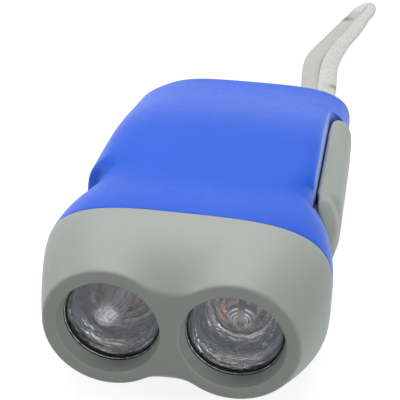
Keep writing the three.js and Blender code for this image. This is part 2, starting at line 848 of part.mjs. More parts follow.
function makeLatchWindow() {
  const rear = latchRear + gap;
  const window = block([catchInner - gap, leverRear, latchLow - gap], [wide, rear, latchHigh]);
  const flangeRoom = block(
    [flangeInner - gap, latchRear - 2 * latchTravel - gap, latchLow - latchLip - gap],
    [flangeOuter + gap, rear, latchHigh + latchLip],
  );
  return window.add(flangeRoom);
}

function makeSwitchSlot() {
  return block(
    [-wide, switchPlace - knobLength / 2 - gap, -knobHeight / 2 - gap],
    [-gripHalfWidth + wall + gap, switchPlace + knobLength / 2 + switchTravel + gap, knobHeight / 2 + gap],
  );
}

function makeCasing() {
  const outer = casingLoft(seamPlace, 0, casingSides, casingCounts);
  const cuts = [makeLining(), ...makeLeverBay(), makeStrapSlot(), makeLatchWindow(), makeSwitchSlot()];
  return { shell: cutAll(outer, cuts), outer };
}

const pinLow = footTop - pinSeat;
const pinHigh = leverBossTop + gap + pinSeat;
const screwLow = floorLevel + screwDepth - wall;

function half(shell, low, high) {
  return shell.intersect(block([-wide, 0, low], [wide, 2 * bodyLength, high]));
}

// Bosses and ribs that grow from a shell, trimmed to the casing's outer form
function bottomRibs(high) {
  const feet = [pivot, firstCentre, secondCentre, rotorCentre]
    .map((place) => rod(...place, footRadius, -tall, footTop));
  const posts = casePosts.map((place) => rod(...place, postRadius, -tall, high));
  const bridgeFeet = bridgePosts.map((place) => rod(...place, bridgePostRadius, -tall, bridgeLow - gap));
  const trayFoot = rod(cellAcross, cellPlace, footRadius, -tall, trayLow - gap);
  const boardRib = block(
    [driverAcross - footRadius, switchPlace - footRadius / 2, -tall],
    [driverAcross + footRadius, switchPlace + footRadius / 2, driverLow + driverGrip],
  );
  return joinAll([...feet, ...posts, ...bridgeFeet, trayFoot, boardRib]);
}

function makeBottomShell(casing) {
  const high = -gap / 2;
  const axleHoles = [firstCentre, secondCentre, rotorCentre]
    .map((place) => rod(...place, axleRadius + bearingGap, axleLow - gap, footTop + overrun));
  const screwHoles = casePosts.flatMap((place) => [
    rod(...place, screwShankRadius + bearingGap, -tall, high + overrun),
    rod(...place, screwHeadRadius + gap, -tall, screwLow + screwHeadHeight + gap),
  ]);
  const bridgeHoles = bridgePosts.map((place) =>
    rod(...place, bridgeScrewRadius + bearingGap, bridgeLow - bridgeScrewReach, bridgeLow + overrun));
  const boardGroove = block(
    [driverAcross - boardThickness / 2 - gap, driverFront, driverLow - gap],
    [driverAcross + boardThickness / 2 + gap, driverRear, 0],
  );
  const pinHole = rod(...pivot, pinRadius + bearingGap, pinLow - gap, footTop + overrun);
  const ribs = bottomRibs(high).intersect(casing.outer);
  const belowTable = block([-wide, 0, -tall], [wide, 2 * bodyLength, tableLevel]);
  return cutAll(half(casing.shell, -tall, high).add(ribs), [
    pinHole, ...axleHoles, ...screwHoles, ...bridgeHoles, boardGroove, belowTable,
  ]);
}

function makeTopShell(casing) {
  const low = gap / 2;
  const posts = casePosts.map((place) => rod(...place, postRadius, low, tall));
  const pinBoss = rod(...pivot, footRadius, leverBossTop + gap, tall);
  const shaftBoss = rod(...rotorCentre, footRadius, rotorBearingLevel, tall);
  const cellFoot = rod(cellAcross, cellPlace, contactWidth / 2, contactTop + gap, tall);
  const springStop = rod(
    pivotAcross - springOuter + springWire + gap + springStopRadius,
    pivotPlace - springOuter - gap - springStopRadius,
    springStopRadius,
    leverBossTop - 2 * springWire,
    tall,
  );
  const ribs = joinAll([...posts, pinBoss, shaftBoss, cellFoot, springStop]).intersect(casing.outer);
  return cutAll(half(casing.shell, low, tall).add(ribs), [
    rod(...pivot, pinRadius + bearingGap, leverBossTop - gap, pinHigh + gap),
    rod(...rotorCentre, axleRadius + bearingGap, rotorBearingLevel - gap, shaftHigh + gap),
    ...casePosts.map((place) => rod(...place, screwShankRadius + bearingGap, low - gap, screwReach + gap)),
  ]);
}

// Gear train and generator
const axleLow = footTop - footHeight / 2;

function makeCompound(centre, pinion, wheel, phase) {
  const bore = axleRadius + bearingGap;
  const small = solid(plate(gearShape(pinion.module, pinion.teeth, phase, bore), pinion.low, wheel.low + gap));
  const large = solid(plate(gearShape(wheel.module, wheel.teeth, phase, bore), wheel.low, wheel.high));
  return small.add(large).translate([...centre, 0]);
}

function makeFirstGear() {
  const pinion = { module: sectorModule, teeth: firstPinionTeeth, low: sectorLow };
  const wheel = { module: firstModule, teeth: firstWheelTeeth, low: firstWheelLow, high: firstWheelHigh };
  return makeCompound(firstCentre, pinion, wheel, firstPhase);
}

function makeSecondGear() {
  const pinion = { module: firstModule, teeth: secondPinionTeeth, low: firstWheelLow - gap };
  const wheel = { module: secondModule, teeth: secondWheelTeeth, low: secondWheelLow, high: secondWheelHigh };
  return makeCompound(secondCentre, pinion, wheel, secondPhase);
}

function makeRotorPinion() {
  const shape = gearShape(secondModule, rotorPinionTeeth, rotorPhase, axleRadius + bearingGap);
  return solid(plate(shape, secondWheelLow - gap, bridgeLow - gap)).translate([...rotorCentre, 0]);
}

function washer(centre, outer, inner, low, high, sides) {
  return rod(...centre, outer, low, high, sides).subtract(rod(...centre, inner, low - overrun, high + overrun));
}

// Convex outline round a disc at each place
function platesHull(places, radius) {
  const points = places.flatMap(([x, y]) => Array.from({ length: hullSides }, (_, index) => {
    const [dx, dy] = polar(radius, (2 * Math.PI * index) / hullSides);
    return [x + dx, y + dy];
  }));
  points.sort((a, b) => a[0] - b[0] || a[1] - b[1]);
  const turn = (o, a, b) => (a[0] - o[0]) * (b[1] - o[1]) - (a[1] - o[1]) * (b[0] - o[0]);
  const chain = (list) => {
    const out = [];
    list.forEach((point) => {
      while (out.length > 1 && turn(out[out.length - 2], out[out.length - 1], point) <= 0) {
        out.pop();
      }
      out.push(point);
    });
    return out.slice(0, -1);
  };
  return [...chain(points), ...chain(points.slice().reverse())];
}

function makeBridge() {
  const places = [firstCentre, secondCentre, rotorCentre, ...bridgePosts];
  const sheet = solid(plate(outlineShape(platesHull(places, bridgeMargin)), bridgeLow, bridgeHigh));
  return cutAll(sheet, [
    ...[firstCentre, secondCentre, rotorCentre]
      .map((place) => rod(...place, axleRadius + bearingGap, bridgeLow - overrun, bridgeHigh + overrun)),
    ...bridgePosts
      .map((place) => rod(...place, bridgeScrewRadius + bearingGap, bridgeLow - overrun, bridgeHigh + overrun)),
  ]);
}

const poleBore = magnetRadius + airGap;
const coreHalfWidth = poleBore + poleWidth;
const yokeFront = rotorCentre[1] + poleLength;
const yokeRear = yokeFront + poleWidth;

function makeCore() {
  const [x, y] = rotorCentre;
  const body = block([x - coreHalfWidth, y - poleReach, coreLow], [x + coreHalfWidth, yokeRear, coreHigh]);
  const slot = block(
    [x - slotHalfWidth, y - poleReach - overrun, coreLow - overrun],
    [x + slotHalfWidth, yokeFront, coreHigh + overrun],
  );
  return cutAll(body, [slot, rod(x, y, poleBore, coreLow - overrun, coreHigh + overrun, lampSides)]);
}

function yokeSleeve(grow, halfLength) {
  const shape = evenBar(yokeFront - grow, yokeRear + grow, coreLow - grow, coreHigh + grow, grow);
  const sleeve = plate(shape, -halfLength, halfLength, 1);
  sleeve.applyMatrix4(new THREE.Matrix4().makeBasis(
    new THREE.Vector3(0, 1, 0),
    new THREE.Vector3(0, 0, 1),
    new THREE.Vector3(1, 0, 0),
  ));
  return solid(sleeve.translate(rotorCentre[0], 0, 0));
}

const coilHalfLength = slotHalfWidth - gap;

function makeBobbin() {
  const inner = yokeSleeve(gap / 2, coilHalfLength + overrun);
  const sleeve = yokeSleeve(gap / 2 + bobbinWall, coilHalfLength);
  const flange = yokeSleeve(coilDepth, coilHalfLength);
  const between = yokeSleeve(coilDepth + overrun, coilHalfLength - bobbinWall);
  return flange.subtract(between).add(sleeve).subtract(inner);
}

function makeWinding() {
  const grow = gap / 2 + bobbinWall + bearingGap;
  const halfLength = coilHalfLength - bobbinWall - bearingGap;
  return yokeSleeve(coilDepth - gap / 2, halfLength).subtract(yokeSleeve(grow, halfLength + overrun));
}

// Cells, tray and contacts
const trayLow = firstWheelHigh + gap;
const contactLow = trayLow + trayWall + bearingGap;
const cellLow = contactLow + contactThickness + bearingGap;
const cellTop = cellLow + 2 * cellThickness + bearingGap;
const contactTop = cellTop + bearingGap + contactThickness;

function makeTray() {
  const inner = cellRadius + gap;
  const cup = rod(cellAcross, cellPlace, inner + trayWall, trayLow, cellLow + cellThickness, lampSides);
  const room = rod(cellAcross, cellPlace, inner, trayLow + trayWall, cellTop + overrun, lampSides);
  return cup.subtract(room);
}

function makeCell(low) {
  const rim = cellRadius - 2 * gap;
  const lift = cellThickness / 8;
  const geometry = lathe([[0, 0], [rim, 0], [cellRadius, lift], [cellRadius, cellThickness], [0, cellThickness]], lampSides);
  geometry.rotateX(Math.PI / 2);
  return geometry.translate(cellAcross, cellPlace, low);
}

function makeContact(low, length) {
  const strip = evenBar(-length / 2, length / 2, -contactWidth / 2, contactWidth / 2, contactWidth / 4);
  return plate(strip, low, low + contactThickness, 1).translate(cellAcross, cellPlace, 0);
}

// Rounded rod along a route, for wires and strands
function routed(points, section, steps) {
  const route = new THREE.CatmullRomCurve3(points.map((point) => new THREE.Vector3(...point)), false, 'centripetal');
  const settings = { steps, bevelEnabled: false, extrudePath: route, curveSegments: routeSides / 2 };
  return new THREE.ExtrudeGeometry(section, settings);
}

function makeWire(level) {
  const section = new THREE.Shape().absarc(0, 0, wireRadius, 0, 2 * Math.PI, false);
  const start = lampBoardFront + boardThickness + gap;
  const end = driverFront + 4 * wireRadius;
  const across = driverAcross + boardThickness / 2 + gap + wireRadius;
  const points = wireShares.map((share) => [across, mix(start, end, share), level]);
  points[2][0] += wireSlack;
  return routed(points, section, wireSteps);
}

// Screws, whose shank starts inside the head so that both are one body
function makeScrew(x, y, headRadius, shankRadius, levels) {
  const [headFace, headSeat, tip] = levels;
  const root = (headFace + headSeat) / 2;
  const head = rod(x, y, headRadius, Math.min(headFace, headSeat), Math.max(headFace, headSeat));
  return head.add(rod(x, y, shankRadius, Math.min(root, tip), Math.max(root, tip)));
}

// Latch and switch
function makeLatch() {
  const flangeFront = latchRear - latchTravel;
  const slab = block([latchInner, latchFront, latchLow], [latchOuter, latchRear, latchTop]);
  const stem = block([flangeInner, flangeFront, latchLow], [latchOuter, latchRear, latchTop]);
  const flange = block([flangeInner, flangeFront, latchLow - latchLip], [flangeOuter, latchRear, latchTop + latchLip]);
  const grooves = latchGrooveShares.map((share) => block(
    [latchOuter - gap, latchFront + share * latchLength - gap, -tall],
    [wide, latchFront + share * latchLength + gap, tall],
  ));
  return cutAll(joinAll([slab, stem, flange]), grooves);
}

function makeKnob() {
  const inner = -gripHalfWidth + wall + gap;
  const stem = block(
    [-gripHalfWidth - knobProud, switchPlace - knobLength / 2, -knobHeight / 2],
    [inner, switchPlace + knobLength / 2, knobHeight / 2],
  );
  const grooves = knobGrooveShares.map((share) => block(
    [-gripHalfWidth - overrun, switchPlace + share * knobLength - gap, -overrun],
    [-gripHalfWidth - knobProud / 2, switchPlace + share * knobLength + gap, overrun],
  ));
  return cutAll(stem, grooves);
}

function makeSwitchBody() {
  const outer = -gripHalfWidth + wall + 2 * gap;
  return block(
    [outer, switchPlace - switchLength / 2, -switchHeight / 2],
    [driverAcross - boardThickness / 2 - gap, switchPlace + switchLength / 2, switchHeight / 2],
  );
}

// Wrist strap: routes of the two strands, from the knot through the slot down to the table
const knotRear = bodyLength - wall - gap;
const knotFront = knotRear - knotLength;

// Points of a strand: across and rearwards as shares of the strap's reach, and the share of its drop
const leftShares = [
  [-0.0167, -0.0133, 0.0], [-0.0167, 0.02, 0.007], [-0.0167, 0.0533, 0.065],
  [-0.0167, 0.0833, 0.241], [-0.016, 0.11, 0.502], [-0.0153, 0.14, 0.775],
  [-0.0147, 0.1733, 0.945], [-0.014, 0.2133, 0.997], [-0.0133, 0.2667, 1.0],
  [-0.0147, 0.3333, 1.0], [-0.0173, 0.4, 1.0], [-0.0213, 0.46, 1.0], [-0.0227, 0.52, 1.0],
  [-0.0187, 0.5733, 1.0], [-0.0087, 0.6267, 1.0], [0.0047, 0.68, 1.0], [0.0167, 0.7333, 1.0],
  [0.0293, 0.784, 1.0], [0.0393, 0.8267, 1.0], [0.0473, 0.86, 1.0], [0.0527, 0.8887, 1.0],
];

const rightShares = [
  [0.0167, -0.0133, 0.0], [0.0167, 0.02, 0.007], [0.0173, 0.0533, 0.065], [0.0187, 0.0833, 0.241],
  [0.0207, 0.11, 0.502], [0.0233, 0.14, 0.775], [0.026, 0.1733, 0.945], [0.028, 0.2133, 0.997],
  [0.0287, 0.2667, 1.0], [0.0273, 0.3333, 1.0], [0.026, 0.4, 1.0], [0.0247, 0.46, 1.0],
  [0.0253, 0.5133, 1.0], [0.03, 0.5667, 1.0], [0.0387, 0.62, 1.0], [0.0487, 0.6733, 1.0],
  [0.0607, 0.7267, 1.0], [0.0693, 0.78, 1.0], [0.076, 0.8267, 1.0], [0.0807, 0.86, 1.0],
  [0.0853, 0.882, 1.0],
];

const strapDrop = headHalfHeight - strandThickness / 2 - bearingGap;

function routeOf(shares) {
  return shares.map(([across, rear, drop]) => [
    strapAcross + across * strapReach,
    bodyLength + rear * strapReach,
    -drop * strapDrop,
  ]);
}

const leftRoute = routeOf(leftShares);
const rightRoute = routeOf(rightShares);

function makeStrand(points) {
  const section = new THREE.Shape();
  section.absellipse(0, 0, strandWidth / 2, strandThickness / 2, 0, 2 * Math.PI, false, 0);
  return routed(points, section, routeSteps);
}

function makeKnot() {
  const rings = knotShares.map(([along, share]) => {
    const form = evenForm(knotHalfWidth * share, knotHalfHeight * share);
    return roundedSection(form, mix(knotFront, knotRear, along), rodSides);
  });
  return loft(rings).translate(strapAcross, 0, 0);
}

// The braid's folded end: a half turn between the ends of the two strands
function makeFold() {
  const left = leftRoute[leftRoute.length - 1];
  const right = rightRoute[rightRoute.length - 1];
  const outer = (strandPitch + strandWidth) / 2;
  const inner = (strandPitch - strandWidth) / 2;
  const tip = foldLength - strandWidth;
  const shape = new THREE.Shape();
  shape.moveTo(gap, -outer);
  shape.lineTo(foldLead, -outer);
  shape.absellipse(foldLead, 0, foldLength, outer, -Math.PI / 2, Math.PI / 2, false, 0);
  shape.lineTo(gap, outer);
  shape.lineTo(gap, inner);
  shape.lineTo(foldLead, inner);
  shape.absellipse(foldLead, 0, tip, inner, Math.PI / 2, -Math.PI / 2, true, 0);
  shape.lineTo(gap, -inner);
  const geometry = plate(shape, left[2] - strandThickness / 2, left[2] + strandThickness / 2, foldSides);
  geometry.rotateZ(Math.atan2(left[1] - right[1], left[0] - right[0]) - Math.PI / 2);
  return geometry.translate((left[0] + right[0]) / 2, (left[1] + right[1]) / 2, 0);
}

// Assembly
const torch = new THREE.Group();
torch.name = 'torch';

function addPiece(name, geometry, material) {
  const mesh = new THREE.Mesh(geometry, material);
  mesh.name = name;
  torch.add(mesh);
  return mesh;
}

function addSolid(name, body, material) {
  return addPiece(name, geometryOf(body), material);
}

const casing = makeCasing();
addSolid('top_shell', makeTopShell(casing), blue());
addSolid('bottom_shell', makeBottomShell(casing), blue());
addSolid('head_bezel', makeBezel(), grey());

[['left', -1], ['right', 1]].forEach(([name, side]) => {
  const across = (side * lampSpacing) / 2;
  addPiece(`lens_${name}`, lathe(lensProfile(), lampSides), clear()).position.set(across, lensFront, 0);
  addPiece(`reflector_${name}`, lathe(reflectorProfile(), bowlSides), chrome()).position.set(across, reflectorFront, 0);
  const led = addPiece(`led_${name}`, lathe(ledProfile(), rodSides), clear());
  led.position.set(across, lampBoardFront - gap, 0);
  led.rotation.z = Math.PI;
});

const lampBoard = new THREE.BoxGeometry(lampBoardWidth, boardThickness, lampBoardHeight);
addPiece('lamp_board', lampBoard, green()).position.y = lampBoardFront + boardThickness / 2;

addSolid('squeeze_lever', makeLever(), grey());
addSolid('toothed_sector', makeSector(), nylon());
addPiece('lever_spring', makeSpring(), steel());
addSolid('lever_pivot_pin', rod(...pivot, pinRadius, pinLow, pinHigh), steel());
addSolid('lever_catch', makeCatch(), steel());
addSolid('lever_latch', makeLatch(), grey());

addSolid('first_gear', makeFirstGear(), nylon());
addSolid('second_gear', makeSecondGear(), nylon());
addSolid('first_axle', rod(...firstCentre, axleRadius, axleLow, bridgeHigh), steel());
addSolid('second_axle', rod(...secondCentre, axleRadius, axleLow, bridgeHigh), steel());
addSolid('gear_bridge', makeBridge(), steel());

addSolid('rotor_shaft', rod(...rotorCentre, axleRadius, axleLow, shaftHigh), steel());
addSolid('rotor_pinion', makeRotorPinion(), nylon());
addSolid('rotor_magnet', washer(rotorCentre, magnetRadius, axleRadius + bearingGap, coreLow, coreHigh, lampSides), dark());
addSolid(
  'flywheel',
  washer(rotorCentre, flywheelRadius, axleRadius + bearingGap, flywheelLow, flywheelHigh, lampSides),
  steel(),
);
addSolid('stator_core', makeCore(), steel());
addSolid('coil_bobbin', makeBobbin(), nylon());
addSolid('coil_winding', makeWinding(), metal(0xb5652f, 0.4));

addSolid('cell_tray', makeTray(), dark());
addPiece('coin_cell_lower', makeCell(cellLow), steel());
addPiece('coin_cell_upper', makeCell(cellLow + cellThickness + bearingGap), steel());
addPiece('contact_lower', makeContact(contactLow, cellRadius), steel());
addPiece('contact_upper', makeContact(cellTop + bearingGap, 2 * cellRadius), steel());

const driverBoard = new THREE.BoxGeometry(boardThickness, driverRear - driverFront, driverTop - driverLow);
addPiece('driver_board', driverBoard, green())
  .position.set(driverAcross, (driverFront + driverRear) / 2, (driverTop + driverLow) / 2);
addSolid('switch_body', makeSwitchBody(), dark());
addSolid('switch_knob', makeKnob(), dark());
addPiece('wire_red', makeWire(wireLevel + wirePitch / 2), plastic(0xb3261e, 0.5));
addPiece('wire_black', makeWire(wireLevel - wirePitch / 2), dark());

casePosts.forEach(([x, y], index) => {
  const levels = [screwLow, screwLow + screwHeadHeight, screwReach];
  addSolid(`case_screw_${index + 1}`, makeScrew(x, y, screwHeadRadius, screwShankRadius, levels), steel());
});

bridgePosts.forEach(([x, y], index) => {
  const seat = bridgeHigh + bearingGap;
  const levels = [seat + screwHeadHeight / 2, seat, bridgeLow - bridgeScrewReach + gap];
  addSolid(`bridge_screw_${index + 1}`, makeScrew(x, y, bridgeScrewHead, bridgeScrewRadius, levels), steel());
});

addPiece('strap_knot', makeKnot(), plastic(0xd8d6d0, 0.8));
addPiece('strap_strand_left', makeStrand(leftRoute), plastic(0xd8d6d0, 0.8));
addPiece('strap_strand_right', makeStrand(rightRoute), plastic(0xd8d6d0, 0.8));
addPiece('strap_fold', makeFold(), plastic(0xd8d6d0, 0.8));

torch.position.set(0, -bodyLength / 2, headHalfHeight);

export default torch;
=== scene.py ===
"""Squeeze-lever dynamo torch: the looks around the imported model, as photographed on a white table."""
import json
import math

import bmesh
import bpy
import numpy as np
from mathutils import Matrix, Vector


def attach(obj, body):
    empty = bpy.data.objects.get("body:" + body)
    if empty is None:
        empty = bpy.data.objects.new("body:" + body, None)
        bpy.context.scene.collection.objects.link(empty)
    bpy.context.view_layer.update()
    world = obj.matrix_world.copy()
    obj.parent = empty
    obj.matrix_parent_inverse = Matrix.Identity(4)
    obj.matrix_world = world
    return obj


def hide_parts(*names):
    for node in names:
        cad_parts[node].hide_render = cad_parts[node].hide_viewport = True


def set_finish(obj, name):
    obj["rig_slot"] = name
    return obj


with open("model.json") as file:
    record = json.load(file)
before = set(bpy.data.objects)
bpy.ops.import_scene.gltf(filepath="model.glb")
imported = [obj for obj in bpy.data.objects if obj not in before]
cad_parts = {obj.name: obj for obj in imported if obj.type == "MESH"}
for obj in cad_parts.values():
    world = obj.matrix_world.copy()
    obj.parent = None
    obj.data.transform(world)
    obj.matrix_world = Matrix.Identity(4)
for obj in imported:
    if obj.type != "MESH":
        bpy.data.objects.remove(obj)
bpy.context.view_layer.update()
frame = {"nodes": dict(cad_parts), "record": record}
nodes = frame["nodes"]
scene = bpy.context.scene

# Shapes are in millimetres of the torch's own frame: X to the lever, Y from the lamps to the rear
# end, Z up from the long axis. to_row() turns such points into the row frame's metres. The floor and
# the lights are in metres.
MM = 0.001
HALF_LENGTH = 50.0
AXIS_HEIGHT = 16.2


def to_row(points):
    out = np.array(points, float).reshape(-1, 3) * MM
    out[:, 1] -= HALF_LENGTH * MM
    out[:, 2] += AXIS_HEIGHT * MM
    return out


def row(point):
    return Vector(to_row([point])[0])


def add_object(name, data):
    obj = bpy.data.objects.new(name, data)
    scene.collection.objects.link(obj)
    return obj


# Camera ---
FOCAL_PIXELS, IMAGE_PIXELS, SENSOR_WIDTH = 1052, 400, 36
CAMERA_PLACE = (31.322, -148.026, 109.656)


def make_camera():
    azimuth, elevation, roll = 0.175183, 0.497594, 0.017709
    forward = Vector((-math.sin(azimuth) * math.cos(elevation),
                      math.cos(azimuth) * math.cos(elevation), -math.sin(elevation)))
    right = forward.cross(Vector((0, 0, 1))).normalized()
    up = right.cross(forward)
    turned_right = math.cos(roll) * right + math.sin(roll) * up
    turned_up = math.cos(roll) * up - math.sin(roll) * right
    data = bpy.data.cameras.new("camera")
    data.sensor_width = SENSOR_WIDTH
    data.lens = FOCAL_PIXELS * SENSOR_WIDTH / IMAGE_PIXELS
    data.clip_start = 0.01
    data.clip_end = 20
    camera = add_object("camera", data)
    axes = Matrix((turned_right, turned_up, -forward)).transposed()
    camera.matrix_world = Matrix.Translation(row(CAMERA_PLACE)) @ axes.to_4x4()
    scene.camera = camera


make_camera()


# Mesh helpers ---
def make_object(name, points, faces):
    mesh = bpy.data.meshes.new(name)
    mesh.from_pydata(to_row(points).tolist(), [], [list(f) for f in faces])
    form = bmesh.new()
    form.from_mesh(mesh)
    bmesh.ops.recalc_face_normals(form, faces=form.faces)
    form.to_mesh(mesh)
    form.free()
    mesh.update()
    return add_object(name, mesh)


def smooth(obj, degrees):
    obj.data.shade_smooth()
    obj.data.set_sharp_from_angle(angle=math.radians(degrees))
    return obj


def full_turn(count):
    return np.linspace(0, 2 * math.pi, count, endpoint=False)


def squared(wave, power):
    """Sines or cosines with their signs kept, bent so that the circle they make bulges to its corners."""
    return np.sign(wave) * np.abs(wave) ** power


def skin(rings, loop=False):
    """Points and faces over a row of rings; the ends are capped, or loop joins the last to the first."""
    rings = np.asarray(rings, float)
    count, sides, _ = rings.shape
    index = np.arange(count * sides).reshape(count, sides)
    here = index if loop else index[:-1]
    there = np.roll(index, -1, axis=0) if loop else index[1:]
    quads = np.stack([here, there, np.roll(there, -1, 1), np.roll(here, -1, 1)], -1)
    faces = quads.reshape(-1, 4).tolist()
    points = rings.reshape(-1, 3)
    if not loop:
        points = np.vstack([points, rings[0].mean(0), rings[-1].mean(0)])
        first, last = count * sides, count * sides + 1
        for side in range(sides):
            after = (side + 1) % sides
            faces.append([first, side, after])
            faces.append([last, index[-1, after], index[-1, side]])
    return points, faces


def section(x, place, z):
    """A ring of points that stands square to the torch's length."""
    return np.stack([x, np.full(len(x), float(place)), z], -1)


def lathe(profile, sides, centre):
    """Rings about a line along Y: profile holds (radius, place) pairs."""
    turn = full_turn(sides)
    return [section(centre[0] + radius * np.cos(turn), place, centre[1] + radius * np.sin(turn))
            for radius, place in profile]


def cutter(rings):
    return make_object("cutter", *skin(rings))


def side_and_up(along, reference):
    """Unit vectors to the side of a line and up from it, by its direction at each point."""
    along = along / np.linalg.norm(along, axis=1)[:, None]
    side = np.cross(along, reference)
    side /= np.linalg.norm(side, axis=1)[:, None]
    return side, np.cross(side, along)


def block(low, high):
    (x0, y0, z0), (x1, y1, z1) = low, high
    points = [(x, y, z) for x in (x0, x1) for y in (y0, y1) for z in (z0, z1)]
    faces = [(0, 1, 3, 2), (4, 6, 7, 5), (0, 4, 5, 1), (2, 3, 7, 6), (0, 2, 6, 4), (1, 5, 7, 3)]
    return make_object("cutter", points, faces)


def upright_rod(x, y, radius, low, high):
    turn = full_turn(32)
    return cutter([np.stack([x + radius * np.cos(turn), y + radius * np.sin(turn), np.full(32, z)], -1)
                   for z in (low, high)])


def copy_of(node):
    """A welded copy of a CAD node's mesh, to cut pieces from; the node itself is left as it is."""
    mesh = nodes[node].data.copy()
    form = bmesh.new()
    form.from_mesh(mesh)
    bmesh.ops.remove_doubles(form, verts=form.verts, dist=2e-6)
    form.to_mesh(mesh)
    form.free()
    return add_object("copy", mesh)


def drop(obj):
    mesh = obj.data
    bpy.data.objects.remove(obj)
    bpy.data.meshes.remove(mesh)


def combine(obj, other, operation, keep=False):
    """Cuts other from obj, joins it or keeps what both share, and drops other unless it is kept."""
    modifier = obj.modifiers.new("boolean", "BOOLEAN")
    modifier.operation = operation
    modifier.object = other
    modifier.solver = "MANIFOLD"
    bpy.context.view_layer.update()
    graph = bpy.context.evaluated_depsgraph_get()
    mesh = bpy.data.meshes.new_from_object(obj.evaluated_get(graph))
    obj.modifiers.clear()
    old = obj.data
    obj.data = mesh
    bpy.data.meshes.remove(old)
    if not keep:
        drop(other)
    return obj


def cut(obj, *cutters):
    for cutter in cutters:
        combine(obj, cutter, "DIFFERENCE")


def append(obj, other):
    """Adds other's mesh to obj as it is."""
    form = bmesh.new()
    form.from_mesh(obj.data)
    form.from_mesh(other.data)
    form.to_mesh(obj.data)
    form.free()
    drop(other)


def round_bar(low_x, high_x, low_y, high_y, corners, steps=12):
    """Outline of a bar with its own corners, each (across, along), from the low corner anticlockwise."""
    spots = [(low_x, low_y, 1, 1, 180), (high_x, low_y, -1, 1, 270), (high_x, high_y, -1, -1, 0),
             (low_x, high_y, 1, -1, 90)]
    points = []
    for (x, y, sx, sy, start), (rx, ry) in zip(spots, corners):
        for angle in np.radians(np.linspace(start, start + 90, steps + 1)):
            points.append((x + sx * rx + rx * math.cos(angle), y + sy * ry + ry * math.sin(angle)))
    return np.array(points)


# Wrist strap ---
# The strands' routes, across and along, and their shared fall from the rear wall to the table
STRAP_FALL = (0, -0.1, -1, -3.7, -7.7, -11.9, -14.5, -15.3) + 13 * (-15.35,)
LEFT_ROUTE = list(zip(
    (10.5, 10.5, 10.5, 10.5, 10.6, 10.7, 10.8, 10.9, 11, 10.8, 10.4, 9.8, 9.6, 10.2, 11.7, 13.7, 15.5,
     17.4, 18.9, 20.1, 20.9),
    (98, 103, 108, 112.5, 116.5, 121, 126, 132, 140, 150, 160, 169, 178, 186, 194, 202, 210, 217.6,
     224, 229, 233.3), STRAP_FALL))
RIGHT_ROUTE = list(zip(
    (15.5, 15.5, 15.6, 15.8, 16.1, 16.5, 16.9, 17.2, 17.3, 17.1, 16.9, 16.7, 16.8, 17.5, 18.8, 20.3,
     22.1, 23.4, 24.4, 25.1, 25.8),
    (98, 103, 108, 112.5, 116.5, 121, 126, 132, 140, 150, 160, 169, 177, 185, 193, 201, 209, 217,
     224, 229, 232.3), STRAP_FALL))
ROUTE_SPACING = 0.42
BRAID_PITCH, BRAID_RELIEF, BRAID_THICKNESS = 2.1, 0.16, 1.5
STRAP_MIDDLE = 13

# Left and right edge of each strand beside its route, along the strand
STRAP_SHARES = [0, 0.08, 0.2, 0.35, 0.47, 0.53, 0.59, 0.65, 0.71, 0.76, 0.82, 0.88, 0.93, 1]
STRAP_EDGES = {
    "left": ([-1.7, -1.7, -1.8, -2.0, -2.05, -2.13, -2.3, -2.45, -2.3, -2.2, -2.15, -2.2, -2.1, -1.75],
             [2.4, 2.4, 2.75, 3.0, 3.35, 3.45, 3.55, 3.7, 3.8, 3.75, 3.6, 3.3, 3.1, 2.55]),
    "right": ([-2.4, -2.4, -2.75, -3.0, -3.4, -3.5, -3.6, -3.7, -3.75, -3.7, -3.55, -3.25, -3.0, -2.5],
              [2.2, 2.3, 2.4, 2.45, 2.5, 2.3, 2.0, 1.8, 1.5, 1.35, 1.3, 1.55, 1.65, 1.7]),
}
# How far each strand tips about its route, in radians
STRAP_LEAN = {"left": 0.0, "right": -0.13}


def spline(points, spacing):
    """Evenly spaced points on a smooth curve through the given ones."""
    points = np.asarray(points, float)
    steps = np.linalg.norm(np.diff(points, axis=0), axis=1)
    at = np.concatenate([[0], np.cumsum(np.sqrt(steps))])
    slopes = np.gradient(points, at, axis=0)
    out = []
    for i in range(len(points) - 1):
        width = at[i + 1] - at[i]
        for t in np.linspace(0, 1, 24, endpoint=False):
            out.append((2 * t**3 - 3 * t**2 + 1) * points[i] + (t**3 - 2 * t**2 + t) * width * slopes[i]
                       + (3 * t**2 - 2 * t**3) * points[i + 1] + (t**3 - t**2) * width * slopes[i + 1])
    out.append(points[-1])
    out = np.array(out)
    along = np.concatenate([[0], np.cumsum(np.linalg.norm(np.diff(out, axis=0), axis=1))])
    marks = np.linspace(0, along[-1], max(4, round(along[-1] / spacing)))
    return np.stack([np.interp(marks, along, out[:, axis]) for axis in range(3)], -1), marks


def braid_relief(pitches, across):
    """Growth of a flat braid's section: two rows of slanting yarns that meet in a centre ridge."""
    slant = pitches + np.abs(across) * 0.9
    return BRAID_RELIEF * (np.abs(np.sin(math.pi * slant)) ** 0.6 - 1)


def braid_section(sides):
    """Shares across and above of the points round a flat braid."""
    turn = full_turn(sides)
    return squared(np.cos(turn), 0.8), squared(np.sin(turn), 0.75)


